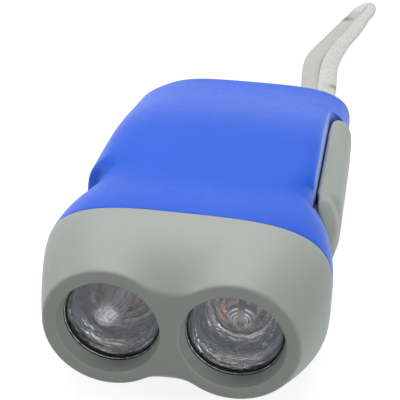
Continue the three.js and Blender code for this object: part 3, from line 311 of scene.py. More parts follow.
def strand(name, centre, marks, edges, lean):
    """A flat braided strand as a mesh tube whose rings stand square to the route, between two edges."""
    side, up = side_and_up(np.gradient(centre, axis=0), (0, 0, 1.0))
    across, above = braid_section(28)
    rings = []
    for i, middle in enumerate(centre):
        grown = braid_relief(marks[i] / BRAID_PITCH, across)
        tilt = lean * min(1, marks[i] / 40, max(0, (marks[-1] - marks[i]) / 12))
        wide = math.cos(tilt) * side[i] + math.sin(tilt) * up[i]
        high = math.cos(tilt) * up[i] - math.sin(tilt) * side[i]
        low, far = edges[0][i], edges[1][i]
        middle = middle + abs(tilt) * far * up[i]
        place = (low + far) / 2 + across * ((far - low) / 2 + 0.4 * grown)
        thick = above * (BRAID_THICKNESS / 2 + grown)
        rings.append(middle + np.outer(place, wide) + np.outer(thick, high))
    return make_object(name, *skin(rings))


def make_strap():
    strands = []
    for name, route in (("left", LEFT_ROUTE), ("right", RIGHT_ROUTE)):
        centre, marks = spline(route, ROUTE_SPACING)
        share = marks / marks[-1]
        edges = [np.interp(share, STRAP_SHARES, line) for line in STRAP_EDGES[name]]
        ahead = centre[-1] - centre[-2]
        drawn = np.vstack([centre, centre[-1] + ahead, centre[-1] + 2 * ahead])
        edges = [np.append(line, [line[-1] * 0.9, line[-1] * 0.7]) for line in edges]
        drawn_marks = np.append(marks, [marks[-1] + ROUTE_SPACING, marks[-1] + 2 * ROUTE_SPACING])
        piece = smooth(strand(f"strap_braid_{name}", drawn, drawn_marks, edges, STRAP_LEAN[name]), 60)
        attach(piece, "casing")
        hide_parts(f"strap_strand_{name}")
        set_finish(piece, "strap_braid")
        strands.append((piece, centre, marks[-1]))
    return strands


def make_fold():
    """The braid's turn at the far end: it runs out from one strand and back into the other."""
    left, right = np.array(LEFT_ROUTE[-1]), np.array(RIGHT_ROUTE[-1])
    middle = (left + right) / 2
    lean = math.atan2(left[1] - right[1], left[0] - right[0]) - math.pi / 2
    outer, inner, reach, tip = 4.25, 0.04, 13.8, 9.2
    run = 17
    rings = []
    across, above = braid_section(24)
    sweep = np.concatenate([np.linspace(-0.35, 0, 4, endpoint=False), np.linspace(0, 1, 90),
                            [1.12, 1.23, 1.35]])
    for share in sweep:
        angle = math.radians(-90 + 180 * min(1, max(0, share)))
        lead = 0.3 + 0.7 * min(1, max(0, 1 - 3 * max(0, -share, share - 1)))
        far = np.array([lead + reach * math.cos(angle), outer * math.sin(angle)])
        near = np.array([lead + tip * math.cos(angle), inner * math.sin(angle)])
        centre, half = (far + near) / 2, (far - near) / 2
        grown = braid_relief(share * run / BRAID_PITCH, across)
        flat = centre + np.outer(across, half)
        rings.append(np.column_stack([flat, above * (BRAID_THICKNESS / 2 + grown)]))
    c, s = math.cos(lean), math.sin(lean)
    turned = middle + np.array(rings) @ np.array(((c, s, 0), (-s, c, 0), (0, 0, 1)))
    piece = smooth(make_object("strap_turn", *skin(turned)), 60)
    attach(piece, "casing")
    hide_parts("strap_fold")
    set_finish(piece, "strap_braid")
    return piece


def make_knot():
    """The overhand knot that holds the strap behind the rear wall."""
    share = full_turn(140)
    radius = 2.6 + 1.15 * np.cos(3 * share)
    centre = np.stack([STRAP_MIDDLE + 1.15 * radius * np.cos(2 * share), 95.5 + 1.1 * np.sin(3 * share),
                       0.62 * radius * np.sin(2 * share)], -1)
    side, up = side_and_up(np.roll(centre, -1, 0) - np.roll(centre, 1, 0), (0, 1.0, 0))
    turn = full_turn(16)
    rings = [middle + np.outer(np.cos(turn) * 1.1, side[i]) + np.outer(np.sin(turn) * 0.9, up[i])
             for i, middle in enumerate(centre)]
    piece = smooth(make_object("strap_knotted", *skin(rings, loop=True)), 60)
    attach(piece, "casing")
    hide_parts("strap_knot")
    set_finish(piece, "strap_braid")


(left_piece, left_line, left_run), (right_piece, right_line, right_run) = make_strap()
strap_turn = make_fold()
make_knot()
row(LEFT_ROUTE[0])
to_row(left_line).tolist()
row(RIGHT_ROUTE[0])
to_row(right_line).tolist()


# Casing ---
HEAD_HALF_WIDTH, HEAD_HALF_HEIGHT = 27.3, 16.2
NECK_HALF_WIDTH = 0.857 * HEAD_HALF_WIDTH
GRIP_HALF_WIDTH = 0.968 * HEAD_HALF_WIDTH
REAR_RIGHT_WIDTH = 0.948 * HEAD_HALF_WIDTH
# Places along the torch
BEZEL_DEPTH, SEAM, NECK = 16.0, 16.12, 33.4
GRIP_START, GRIP_FULL, CROWN = 38.5, 41.5, 56.0
ROUNDING_START, LENGTH = 84, 100.0
# Rounding of the rear end: its upper and lower edges, and its left and right corners
REAR_EDGE, REAR_LEFT, REAR_RIGHT = 5.5, 14, 6
WALL = 2.0
LEVER_INNER, LEVER_OUTER, LEVER_FRONT, LEVER_REAR, LEVER_TOP = 22.309, 27.109, 36.5, 81.4, 10.903
BAY_WALL = LEVER_INNER - 0.7
BAY_FRONT = 31.5
BAY_REAR = LEVER_REAR + 0.3
LINING_FRONT, LINING_REAR, LINING_FLOOR, BAY_LINING = 11.3, 84.41, -14.2, 19.609
# Half the gap between the two shells
PARTING = 0.15
SCREW_PLACES = ((15.506, 26.6), (-21.03, 45.2), (-15.834, 88), (15.834, 85))
SCREW_WELL_RADIUS, SCREW_WELL_TOP = 2.6, -9.4
# Further out than any shape reaches
FAR = 60


def fraction(place, start, end):
    return np.clip((np.asarray(place, float) - start) / (end - start), 0, 1)


def ease(place, start, end):
    share = fraction(place, start, end)
    return share * share * (3 - 2 * share)


def mix(low, high, share):
    return low + (high - low) * share


def rear_drop(place, radius, inset):
    """How far a wall of the rear end has drawn in at a place, by its rounding's radius."""
    inner = radius - inset
    along = min(max(place - (LENGTH - radius), 0), inner)
    return inner - math.sqrt(max(0, inner * inner - along * along))


def casing_half_width(place, rear_width, spread=0.0):
    """The step from neck to grip is crisp on the flank, and spread out where it runs over the shoulder."""
    neck = mix(HEAD_HALF_WIDTH, NECK_HALF_WIDTH, fraction(place, BEZEL_DEPTH, NECK) ** 2)
    grip = mix(neck, GRIP_HALF_WIDTH, ease(place, GRIP_START - 0.5 * spread, GRIP_FULL + spread))
    return mix(grip, rear_width, fraction(place, GRIP_FULL, LENGTH))


def casing_top(place):
    neck = mix(HEAD_HALF_HEIGHT, 14.499, ease(place, BEZEL_DEPTH, NECK))
    crown = mix(neck, 15.406, ease(place, NECK, CROWN))
    return float(mix(crown, 10.303, ease(place, CROWN, LENGTH)))


def casing_floor(place):
    neck = mix(HEAD_HALF_HEIGHT, 15.406, ease(place, BEZEL_DEPTH, NECK))
    return float(mix(neck, 16.8, ease(place, NECK, GRIP_FULL)))


def casing_power(place):
    """How square the section is: the power of its superellipse."""
    neck = mix(3.5, 4.3, ease(place, BEZEL_DEPTH, NECK))
    return float(mix(neck, 3.7, ease(place, CROWN, LENGTH)))


def soft_min(values, limit, width=2.0):
    """The lesser of the values and a limit, with a rounded change from one to the other."""
    share = np.clip(1 - np.abs(values - limit) / width, 0, 1)
    return np.minimum(values, limit) - share * share * width / 4


def casing_ring(place, inset, angles, limit=None):
    edge = rear_drop(place, REAR_EDGE, inset)
    spread = 6 * ease(np.abs(np.sin(angles)), 0.6, 0.97)
    left, right = (casing_half_width(place, width, spread) - inset - rear_drop(place, corner, inset)
                   for width, corner in ((GRIP_HALF_WIDTH, REAR_LEFT), (REAR_RIGHT_WIDTH, REAR_RIGHT)))
    top = casing_top(place) - inset - edge
    floor = casing_floor(place) - inset - edge
    power = casing_power(place)
    c, s = np.cos(angles), np.sin(angles)
    x = np.where(c > 0, right, left) * squared(c, 2 / power)
    z = np.where(s > 0, top, floor) * squared(s, 2 / power)
    if limit is not None:
        x = soft_min(x, limit)
    return section(x, place, z)


def casing_angles(count):
    """Angles that stand evenly along the grip's section, and closer together at the bay's rim."""
    angles = np.linspace(0, 2 * math.pi, 6001)
    line = casing_ring(60, 0, angles, BAY_WALL)
    plain = casing_ring(60, 0, angles)
    steps = np.linalg.norm(np.diff(line, axis=0), axis=1)
    steps = steps + 0.35 * np.linalg.norm(np.diff(plain, axis=0), axis=1)
    near = np.exp(-((plain[:-1, 0] - BAY_WALL) / 1.6) ** 2)
    at = np.concatenate([[0], np.cumsum(steps * (1 + 2.5 * near))])
    return np.interp(np.linspace(0, at[-1], count, endpoint=False), at, angles)


def casing_rows():
    """Rows of the outer skin: place, inset and the limit of the right side, which steps in at the bay."""
    rows = []
    for turn in np.radians(np.linspace(0, 90, 5)):
        rows.append((SEAM + 0.2 * (1 - math.cos(turn)), 0.2 * (1 - math.sin(turn)), None))
    rows += [(place, 0, None) for place in np.arange(SEAM + 0.8, BAY_FRONT - 0.2, 0.55)]
    wide = casing_half_width(BAY_FRONT, REAR_RIGHT_WIDTH)
    rows.append((BAY_FRONT - 0.08, 0, None))
    rows += [(BAY_FRONT - 0.06 + 0.01 * i, 0, limit)
             for i, limit in enumerate(np.linspace(wide + 1.6, BAY_WALL + 1.3, 7))]
    for turn in np.radians(np.linspace(8, 90, 7)):
        rows.append((BAY_FRONT + 1.2 * (1 - math.cos(turn)), 0, BAY_WALL + 1.2 * (1 - math.sin(turn))))
    along_bay = ((BAY_FRONT + 1.6, GRIP_START, 0.6), (GRIP_START, GRIP_FULL, 0.25),
                 (GRIP_FULL, BAY_REAR - 3.2, 0.8))
    for start, end, step in along_bay:
        rows += [(place, 0, BAY_WALL) for place in np.arange(start, end, step)]
    for turn in np.radians(np.linspace(0, 84, 11)):
        rows.append((BAY_REAR - 2.4 + 2.4 * math.sin(turn), 0, BAY_WALL + 1.7 * (1 - math.cos(turn))))
    wide = casing_half_width(BAY_REAR, REAR_RIGHT_WIDTH)
    rows += [(BAY_REAR + 0.01 * i, 0, limit)
             for i, limit in enumerate(np.linspace(BAY_WALL + 1.7, wide + 1.6, 6))]
    rows += [(place, 0, None) for place in np.arange(BAY_REAR + 0.08, ROUNDING_START, 0.5)]
    rounding = LENGTH - ROUNDING_START
    rows += [(ROUNDING_START + rounding * math.sin(turn), 0, None)
             for turn in np.linspace(0, math.pi / 2, 56)]
    return rows


def casing_solid():
    angles = casing_angles(300)
    rings = []
    for place, inset, limit in casing_rows():
        ring = casing_ring(place, inset, angles, limit)
        ring[:, 2] = np.maximum(ring[:, 2], -AXIS_HEIGHT + 0.001 * (1 + np.cos(angles)))
        rings.append(ring)
    return make_object("casing", *skin(rings))


def lining_solid():
    """The hollow inside the casing, which steps in behind the lever's bay."""
    angles = full_turn(96)
    places = [(place, None) for place in (LINING_FRONT, 20, 25, 29.5)]
    places += [(place, BAY_LINING) for place in (29.51, 33, 38.5, 40, 41.5, 50, 60, 70, 80, 84.4)]
    places += [(LINING_REAR, None)]
    places += [(LINING_REAR + 13.59 * math.sin(t), None) for t in np.linspace(0.08, math.pi / 2, 14)]
    rings = []
    for place, limit in places:
        ring = casing_ring(place, WALL, angles)
        if limit:
            ring[:, 0] = np.minimum(ring[:, 0], limit)
        ring[:, 2] = np.maximum(ring[:, 2], LINING_FLOOR)
        rings.append(ring)
    return make_object("lining", *skin(rings))


def strap_slot():
    outline = round_bar(STRAP_MIDDLE - 5.3, STRAP_MIDDLE + 5.3, -1.8, 1.8, [(1.2, 1.2)] * 4, 6)
    return cutter([section(outline[:, 0], place, outline[:, 1]) for place in (95.5, 104)])


def make_casing():
    lining = lining_solid()
    bosses = {node: combine(copy_of(node), lining, "INTERSECT", keep=True)
              for node in ("top_shell", "bottom_shell")}
    shell = combine(casing_solid(), lining, "DIFFERENCE")
    arm_hole = block((17.6, 34.6, -6.6), (23.6, 43.6, 6.6))
    latch_window = block((23.21, LEVER_REAR, -7.79), (FAR, 93.0, -3.21))
    switch_window = block((-FAR, 60.5, -1.7), (-24.1, 68.5, 1.7))
    nose_relief = block((BAY_WALL - 1.2, BAY_FRONT, -9.2), (BAY_WALL + 0.9, 40, 9.2))
    cut(shell, arm_hole, strap_slot(), latch_window, switch_window, nose_relief)
    for x, y in SCREW_PLACES:
        cut(shell, upright_rod(x, y, SCREW_WELL_RADIUS, -30, SCREW_WELL_TOP))
    lower = add_object("casing_lower", shell.data.copy())
    combine(shell, block((-FAR, 0, PARTING), (FAR, 130, FAR)), "INTERSECT")
    combine(lower, block((-FAR, 0, -FAR), (FAR, 130, -PARTING)), "INTERSECT")
    shell.name = "casing_upper"
    for piece, node in ((shell, "top_shell"), (lower, "bottom_shell")):
        append(piece, bosses[node])
        smooth(piece, 32)
        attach(piece, "casing")
        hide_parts(node)
        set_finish(piece, "blue_plastic")


make_casing()

# Head ---
LAMP_HALF = 0.824 * HEAD_HALF_WIDTH / 2
LOBE = 0.44 * HEAD_HALF_WIDTH
WAIST = 0.72 * LOBE
MOUTH = 0.348 * HEAD_HALF_WIDTH
THROAT = 0.33 * HEAD_HALF_WIDTH
LAMP_RECESS = 3.1
SEAT = THROAT + 0.9
HEAD_POWER = 3.5


def lobe_radius(across):
    inside = (LAMP_HALF * across)**2 - LAMP_HALF**2 + LOBE**2
    return LAMP_HALF * across + np.sqrt(np.maximum(0, inside))


def eight_radius(angle):
    """Reach of the face's outline: two lobes with a saddle between them."""
    fillet = (LAMP_HALF**2 + WAIST**2 - LOBE**2) / (2 * (LOBE - WAIST))
    centre = WAIST + fillet
    across, up = np.abs(np.cos(angle)), np.abs(np.sin(angle))
    touch = math.atan2(LOBE * centre / (LOBE + fillet), LAMP_HALF * fillet / (LOBE + fillet))
    saddle = centre * up - np.sqrt(np.maximum(0, (centre * up)**2 - centre**2 + fillet**2))
    return np.where(np.arctan2(up, across) < touch, lobe_radius(across), saddle)


def stadium_radius(angle):
    """Reach of the same outline with the saddle filled."""
    across, up = np.abs(np.cos(angle)), np.abs(np.sin(angle))
    flat = LOBE / np.maximum(up, 1e-6)
    return np.where(np.arctan2(up, across) < math.atan2(LOBE, LAMP_HALF), lobe_radius(across), flat)


def head_ring(depth, inset, sides):
    """Section of the head, from the face's outline to the casing's at the seam."""
    spread = 1 - (1 - min(depth, BEZEL_DEPTH) / BEZEL_DEPTH) ** 1.5
    saddle = (1 - min(1, depth / 11)) ** 2
    turn = full_turn(sides)
    angle = np.arctan2(np.sin(turn) * HEAD_HALF_HEIGHT, np.cos(turn) * HEAD_HALF_WIDTH)
    seam = ((np.abs(np.cos(angle)) / HEAD_HALF_WIDTH)**HEAD_POWER
            + (np.abs(np.sin(angle)) / HEAD_HALF_HEIGHT)**HEAD_POWER) ** (-1 / HEAD_POWER)
    stadium = stadium_radius(angle)
    radius = mix(stadium, seam, spread) - (stadium - eight_radius(angle)) * saddle - inset
    return section(radius * np.cos(angle), depth, radius * np.sin(angle))


def make_bezel():
    turns = np.radians(np.linspace(0, 90, 7))
    rows = [(0.5 * (1 - math.cos(t)), 0.5 * (1 - math.sin(t))) for t in turns]
    rows += [(depth, 0) for depth in np.linspace(0.8, BEZEL_DEPTH - 0.3, 56)]
    rows += [(BEZEL_DEPTH - 0.12 * (1 - math.sin(t)), 0.12 * (1 - math.cos(t))) for t in turns[1:]]
    bezel = make_object("bezel", *skin([head_ring(depth, inset, 420) for depth, inset in rows]))
    angles = full_turn(96)
    tongue = []
    for place in (13.0, 19.0):
        ring = casing_ring(BEZEL_DEPTH, WALL + 0.3, angles)
        ring[:, 1] = place
        tongue.append(ring)
    combine(bezel, make_object("tongue", *skin(tongue)), "UNION")
    room_x = 23.7 * squared(np.cos(angles), 2 / HEAD_POWER)
    room_z = 12.6 * squared(np.sin(angles), 2 / HEAD_POWER)
    cut(bezel, cutter([section(room_x, place, room_z) for place in (9.7, 16.0, 24.0)]))
    edge = [(MOUTH + 0.3 * (1 - math.sin(t)), 0.3 * (1 - math.cos(t)))
            for t in np.radians(np.linspace(0, 90, 6))]
    for side in (-1, 1):
        centre = (side * LAMP_HALF, 0)
        mouth = [(MOUTH + 0.3, -2), *edge, (THROAT, LAMP_RECESS), (THROAT, 5.0)]
        bore = [(SEAT + 0.3, LAMP_RECESS), (SEAT + 0.3, 17.0)]
        cut(bezel, cutter(lathe(mouth, 128, centre)), cutter(lathe(bore, 96, centre)))
    bezel.name = "bezel_shell"
    smooth(bezel, 32)
    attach(bezel, "casing")
    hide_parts("head_bezel")
    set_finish(bezel, "grey_plastic")


make_bezel()

# Lamps ---
LENS_FRONT = LAMP_RECESS + 0.1
BOWL_FRONT = LENS_FRONT + 1.6
BOWL_DEPTH = 9.6
BOARD_FRONT = BOWL_FRONT + BOWL_DEPTH + 2.3
BOWL_NECK, BOWL_SPAN = 2.9, 5.7
CLEAR_RADIUS = 8.75
LED_RADIUS = 2.7

# Where each LED's dome starts, and how far it leans there, across and up: soldered by hand, the LEDs
# stand a little askew
LED_DOME = {"left": (7.0, -1.4, -0.9), "right": (9.0, 0.4, 0.9)}


def make_lamp(side):
    name = "left" if side < 0 else "right"
    centre = (side * LAMP_HALF, 0)
    front = [(CLEAR_RADIUS * s, LENS_FRONT + 0.35 * s**6) for s in np.linspace(0.05, 1, 14)]
    lens = front + [(8.89, LENS_FRONT + 0.38), (8.94, LENS_FRONT + 0.15), (8.99, LENS_FRONT + 0.38)]
    lens += [(SEAT, LENS_FRONT + 0.4), (SEAT, LENS_FRONT + 0.62), (SEAT, LENS_FRONT + 1.5)]
    lens += [(CLEAR_RADIUS, LENS_FRONT + 1.5)]
    lens += [(CLEAR_RADIUS * s, LENS_FRONT + 1.1) for s in (0.97, 0.6, 0.3, 0.05)]
    lens_piece = smooth(make_object(f"lens_{name}_clear", *skin(lathe(lens, 128, centre))), 40)
    bowl = []
    full, neck = THROAT - 0.5, BOWL_NECK
    for share in np.linspace(0, 1, 26):
        radius = mix(full, neck, share)
        bowl.append((radius, BOWL_FRONT + BOWL_DEPTH * (full**2 - radius**2) / (full**2 - neck**2)))
    end = BOWL_FRONT + BOWL_DEPTH + 2.0
    back = [(neck, end), (neck + 0.8, end), (neck + 0.8, BOWL_FRONT + BOWL_DEPTH + 0.4)]
    back += [(r + 0.8, y) for r, y in bowl[::-1][3:-6:3]]
    back += [(full + 0.5, BOWL_FRONT + 0.8), (SEAT, BOWL_FRONT + 0.8), (SEAT, BOWL_FRONT),
             (full + 0.12, BOWL_FRONT)]
    rings = lathe(bowl + back, 128, centre)
    reflector = smooth(make_object(f"reflector_{name}_bowl", *skin(rings, loop=True)), 40)
    base = BOARD_FRONT - 0.3
    shoulder, lean_across, lean_up = LED_DOME[name]
    dome = [(LED_RADIUS * math.cos(t), shoulder - 2.5 * math.sin(t))
            for t in np.radians(np.linspace(0, 88, 14))]
    led = np.array(lathe([(2.84, base), (2.84, base - 0.95), (2.5, base - 1.05), *dome], 64, centre))
    for axis, lean in ((0, lean_across), (2, lean_up)):
        led[..., axis] += lean * (base - led[..., 1]) / (base - shoulder)
    led_piece = smooth(make_object(f"led_{name}_body", *skin(led)), 50)
    for piece, node, slot in ((lens_piece, f"lens_{name}", "clear_lens"),
                              (reflector, f"reflector_{name}", "bright_reflector"),
                              (led_piece, f"led_{name}", "clear_lens")):
        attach(piece, "casing")
        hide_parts(node)
        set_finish(piece, slot)
    return {"lens": lens_piece, "bowl": reflector, "led": led_piece, "centre": centre}


lamps = [make_lamp(-1), make_lamp(1)]


# Squeeze lever ---
# Roundings across and along: inner front, outer front, outer rear, inner rear
LEVER_CORNERS = [(1.6, 2.2), (2.2, 8), (1.3, 1.4), (3.2, 4.0)]
LEVER_POWER = 4.2
NOSE_LENGTH, NOSE_DROP = 3.2, 3.2


def lever_height(x):
    share = np.abs(x) / (LEVER_OUTER + 0.02)
    return LEVER_TOP * np.maximum(0, 1 - share ** LEVER_POWER) ** (1 / LEVER_POWER)


def make_lever():
    """The paddle: two domed skins over its outline, a wall round its rim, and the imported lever's arm."""
    outline = round_bar(LEVER_INNER, LEVER_OUTER, LEVER_FRONT, LEVER_REAR, LEVER_CORNERS, 20)
    closed = np.vstack([outline, outline[:1]])
    along = 0.5 - 0.5 * np.cos(np.linspace(0, math.pi, 120))
    along = mix(np.linspace(0, 1, 120), along, 0.75)
    across = 0.5 - 0.5 * np.cos(np.linspace(0, math.pi, 26))

    def sides_at(y):
        hits = []
        for (x0, y0), (x1, y1) in zip(closed[:-1], closed[1:]):
            if min(y0, y1) <= y <= max(y0, y1) and abs(y1 - y0) > 1e-9:
                hits.append(x0 + (x1 - x0) * (y - y0) / (y1 - y0))
        return min(hits), max(hits)

    grid, plain = np.zeros((2, len(along), len(across), 2))
    for i, share in enumerate(along):
        y = mix(LEVER_FRONT + 1e-4, LEVER_REAR - 1e-4, share)
        low, high = sides_at(y)
        plain[i, :, 0] = mix(low, high, across)
        low -= 0.45 * ease(y, 40, 43) * ease(LEVER_REAR - y, 0.5, 9)
        grid[i, :, 0] = mix(low, high, across)
        grid[i, :, 1] = plain[i, :, 1] = y
    flat = plain.reshape(-1, 2)
    start, step = closed[:-1], np.diff(closed, axis=0)
    length = np.maximum((step**2).sum(1), 1e-12)
    share = np.clip(((flat[:, None] - start) * step).sum(2) / length, 0, 1)
    away = np.linalg.norm(flat[:, None] - start - share[..., None] * step, axis=2).min(1)
    outward = ease(flat[:, 0], LEVER_INNER + 1.6, LEVER_INNER + 3.2)
    fillet = mix(0.9, 0.7 + 3.6 * outward, 1 - ease(flat[:, 1], 42.5, 46))
    inner = np.clip(fillet - away, 0, fillet)
    nose = 1 - fraction(flat[:, 1], LEVER_FRONT, LEVER_FRONT + NOSE_LENGTH)
    height = lever_height(flat[:, 0]) - (fillet - np.sqrt(fillet**2 - inner**2)) - NOSE_DROP * nose**1.5
    height = np.maximum(height, 0.4).reshape(grid.shape[:2])
    n, m = grid.shape[:2]
    upper = np.concatenate([grid, height[..., None]], -1).reshape(-1, 3)
    lower = upper * (1, 1, -1)
    index = np.arange(n * m).reshape(n, m)
    quads = np.stack([index[:-1, :-1], index[1:, :-1], index[1:, 1:], index[:-1, 1:]], -1).reshape(-1, 4)
    rim = np.concatenate([index[0, :], index[1:, -1], index[-1, -2::-1], index[-2:0:-1, 0]])
    points = [upper, lower]
    loops = [rim]
    base = 2 * n * m
    for level in np.linspace(1, -1, 15)[1:-1]:
        ring = upper[rim].copy()
        ring[:, 2] *= level
        points.append(ring)
        loops.append(np.arange(base, base + len(rim)))
        base += len(rim)
    loops.append(rim + n * m)
    faces = quads.tolist() + (quads[:, ::-1] + n * m).tolist()
    for one, other in zip(loops[:-1], loops[1:]):
        faces += np.stack([one, other, np.roll(other, -1), np.roll(one, -1)], -1).tolist()
    paddle = make_object("paddle", np.vstack(points), faces)
    arm_room = block((0, 20, -40), (LEVER_INNER - 0.05, 60, 40))
    append(paddle, combine(copy_of("squeeze_lever"), arm_room, "INTERSECT"))
    paddle.name = "lever_paddle"
    smooth(paddle, 34)
    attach(paddle, "lever")
    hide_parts("squeeze_lever")
    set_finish(paddle, "grey_plastic")


make_lever()


# Materials ---
def linear(red, green, blue):
    return tuple((c / 255 / 12.92 if c / 255 <= 0.04045 else ((c / 255 + 0.055) / 1.055) ** 2.4)
                 for c in (red, green, blue)) + (1.0,)


class Graph:
    """Short calls for building the nodes of one material or world."""

    def __init__(self, name, store=None, output="ShaderNodeOutputMaterial"):
        self.owner = (bpy.data.materials if store is None else store).new(name)
        self.owner.use_nodes = True
        self.tree = self.owner.node_tree
        self.tree.nodes.clear()
        self.output = self.tree.nodes.new(output)

    def node(self, kind, inputs=(), **settings):
        made = self.tree.nodes.new(kind)
        for key, value in settings.items():
            setattr(made, key, value)
        for key, value in dict(inputs).items():
            self.put(made.inputs[key], value)
        return made

    def put(self, socket, value):
        if isinstance(value, bpy.types.NodeSocket):
            self.tree.links.new(value, socket)
        else:
            socket.default_value = value

    def math(self, operation, first, second=0.0, third=0.0):
        made = self.node("ShaderNodeMath", {0: first, 1: second, 2: third}, operation=operation)
        return made.outputs[0]

    def times(self, first, second):
        return self.math("MULTIPLY", first, second)

    def scaled(self, value, factor, shift):
        return self.math("MULTIPLY_ADD", value, factor, shift)

    def place(self):
        """The shaded point in its object's own frame, in metres."""
        return self.node("ShaderNodeTexCoord").outputs["Object"]

    def vector(self, operation, first, second):
        return self.node("ShaderNodeVectorMath", {0: first, 1: second}, operation=operation).outputs

    def reach(self, across, high):
        square = self.math("ADD", self.times(across, across), self.times(high, high))
        return self.math("SQRT", square)

    def split(self, vector):
        return self.node("ShaderNodeSeparateXYZ", {"Vector": vector}).outputs

    def join(self, x, y, z=0.0):
        return self.node("ShaderNodeCombineXYZ", {"X": x, "Y": y, "Z": z}).outputs[0]

    def noise(self, scale, detail=3.0, rough=0.5, stretch=(1, 1, 1), vector=None, distortion=0.0):
        if vector is None:
            vector = self.node("ShaderNodeMapping", {"Vector": self.place(), "Scale": stretch}).outputs[0]
        inputs = {"Vector": vector, "Scale": scale, "Detail": detail, "Roughness": rough,
                  "Distortion": distortion}
        return self.node("ShaderNodeTexNoise", inputs).outputs["Fac"]

    def cells(self, vector, scale):
        """Random cells: a share for each cell, and the distance to the cell's point."""
        made = self.node("ShaderNodeTexVoronoi", {"Vector": vector, "Scale": scale})
        pick = self.node("ShaderNodeSeparateColor", {"Color": made.outputs["Color"]}).outputs[0]
        return pick, made.outputs["Distance"]

    def ramp(self, value, *stops):
        made = self.node("ShaderNodeValToRGB", {"Fac": value})
        line = made.color_ramp
        while len(line.elements) < len(stops):
            line.elements.new(0.5)
        for element, (place, colour) in zip(line.elements, stops):
            element.position = place
            element.color = colour
        return made.outputs["Color"]

    def tones(self, value, *stops):
        """A ramp whose stops are a place and a colour in 0 to 255."""
        return self.ramp(value, *[(place, linear(*tone)) for place, *tone in stops])

    def grey(self, value, *stops):
        return self.ramp(value, *[(place, (level, level, level, 1)) for place, level in stops])

    def blend(self, share, first, second):
        made = self.node("ShaderNodeMix", data_type="RGBA")
        for index, value in ((0, share), (6, first), (7, second)):
            self.put(made.inputs[index], value)
        return made.outputs[2]

    def bump(self, height, distance):
        inputs = {"Height": height, "Distance": distance, "Strength": 1.0}
        return self.node("ShaderNodeBump", inputs).outputs["Normal"]

    def finish(self, colour, roughness, **inputs):
        shader = self.node("ShaderNodeBsdfPrincipled", {"Base Color": colour, "Roughness": roughness})
        for key, value in inputs.items():
            self.put(shader.inputs[key.replace("_", " ")], value)
        return self.show(shader)

    def show(self, shader):
        self.tree.links.new(shader.outputs[0], self.output.inputs["Surface"])
        return self.owner


def plastic(name, colour, shade=0.93, roughness=(0.38, 0.46), grain=0.00001, grain_scale=2600.0):
    """Moulded plastic: faint cloudy colour, a fine moulded grain and slightly uneven gloss."""
    graph = Graph(name)
    base = linear(*colour)
    dark = tuple(c * shade for c in base[:3]) + (1.0,)
    tint = graph.ramp(graph.noise(55.0, 4.0), (0.3, dark), (0.75, base))
    gloss = graph.grey(graph.noise(420.0, 5.0, 0.6), (0.3, roughness[0]), (0.7, roughness[1]))
    normal = graph.bump(graph.noise(grain_scale, 2.0), grain)
    return graph.finish(tint, gloss, Normal=normal)


def casing_blue():
    """Glossy blue moulding, faintly clouded, with a painted highlight along the rim of the lever's bay."""
    graph = Graph("blue_shell")
    tint = graph.tones(graph.noise(55.0, 4.0), (0.3, 20, 92, 222), (0.75, 26, 99, 232))
    parts = graph.split(graph.place())
    x, y, z = (graph.times(parts[axis], 1000.0) for axis in "XYZ")
    # Painted highlight: paler blue along the rounded rim of the lever's bay, where that edge catches
    # light.
    highlight_wobble = graph.noise(160.0, 3.0, 0.5, (1, 0.35, 1))
    across = graph.scaled(highlight_wobble, 0.5, graph.math("SUBTRACT", x, BAY_WALL + 0.25))
    line = graph.grey(graph.scaled(across, 0.4, 0.5),
                      (0.0, 0.0), (0.28, 0.12), (0.38, 0.85), (0.5, 0.9))
    along = graph.grey(graph.scaled(y, 0.01, 0.5),
                       (0.335, 0.0), (0.36, 1.0), (0.8, 1.0), (0.825, 0.0))
    above = graph.grey(graph.times(z, 0.03), (0.6, 0.0), (0.7, 1.0))
    rim = graph.times(graph.times(line, along), above)
    tint = graph.blend(rim, tint, linear(142, 166, 246))
    gloss = graph.grey(graph.noise(420.0, 5.0, 0.6), (0.3, 0.33), (0.7, 0.41))
    normal = graph.bump(graph.noise(3000.0, 2.0), 0.000008)
    return graph.finish(tint, gloss, Specular_IOR_Level=0.2, Normal=normal)


def plain_steel():
    """Bare steel, faintly brushed."""
    graph = Graph("plain_steel")
    base = linear(186, 188, 190)
    dark = tuple(c * 0.82 for c in base[:3]) + (1.0,)
    lines = graph.noise(900.0, 3.0, 0.6, (1, 14, 1))
    tint = graph.blend(lines, dark, base)
    gloss = graph.grey(lines, (0.3, 0.22), (0.7, 0.4))
    return graph.finish(tint, gloss, Metallic=1.0, Normal=graph.bump(lines, 0.000006))


def board_green():
    graph = Graph("solder_mask")
    lines = graph.grey(graph.noise(700.0, 2.0, 0.4, (1, 1, 6)), (0.47, 0.0), (0.5, 1.0))
    tint = graph.blend(lines, linear(24, 92, 58), linear(38, 122, 80))
    return graph.finish(tint, 0.38, Normal=graph.bump(lines, 0.00002))


def copper_wound():
    graph = Graph("enamelled_winding")
    waves = graph.times(graph.split(graph.place())["X"], 15700.0)
    turns = graph.math("ABSOLUTE", graph.math("SINE", waves))
    # The colour follows the turns: painted shade in the grooves between them, painted highlight on their
    # crowns.
    tint = graph.blend(turns, linear(112, 52, 22), linear(205, 122, 66))
    return graph.finish(tint, 0.32, Metallic=0.85, Normal=graph.bump(turns, 0.00005))


def ferrite():
    graph = Graph("sintered_ferrite")
    spots = graph.noise(1500.0, 4.0, 0.7)
    tint = graph.blend(spots, linear(38, 38, 41), linear(66, 66, 70))
    return graph.finish(tint, 0.62, Normal=graph.bump(spots, 0.00003))


# The strap's dark spots, a painted shadow in the hollow where the strands cross and a darker olive spot:
# place, reach in metres and colour
STRAP_DARK_SPOTS = (((17.6, 225.0, -14.6), 0.0042, (112, 110, 102)),
          ((18.6, 158.5, -14.8), 0.0024, (140, 138, 112)))


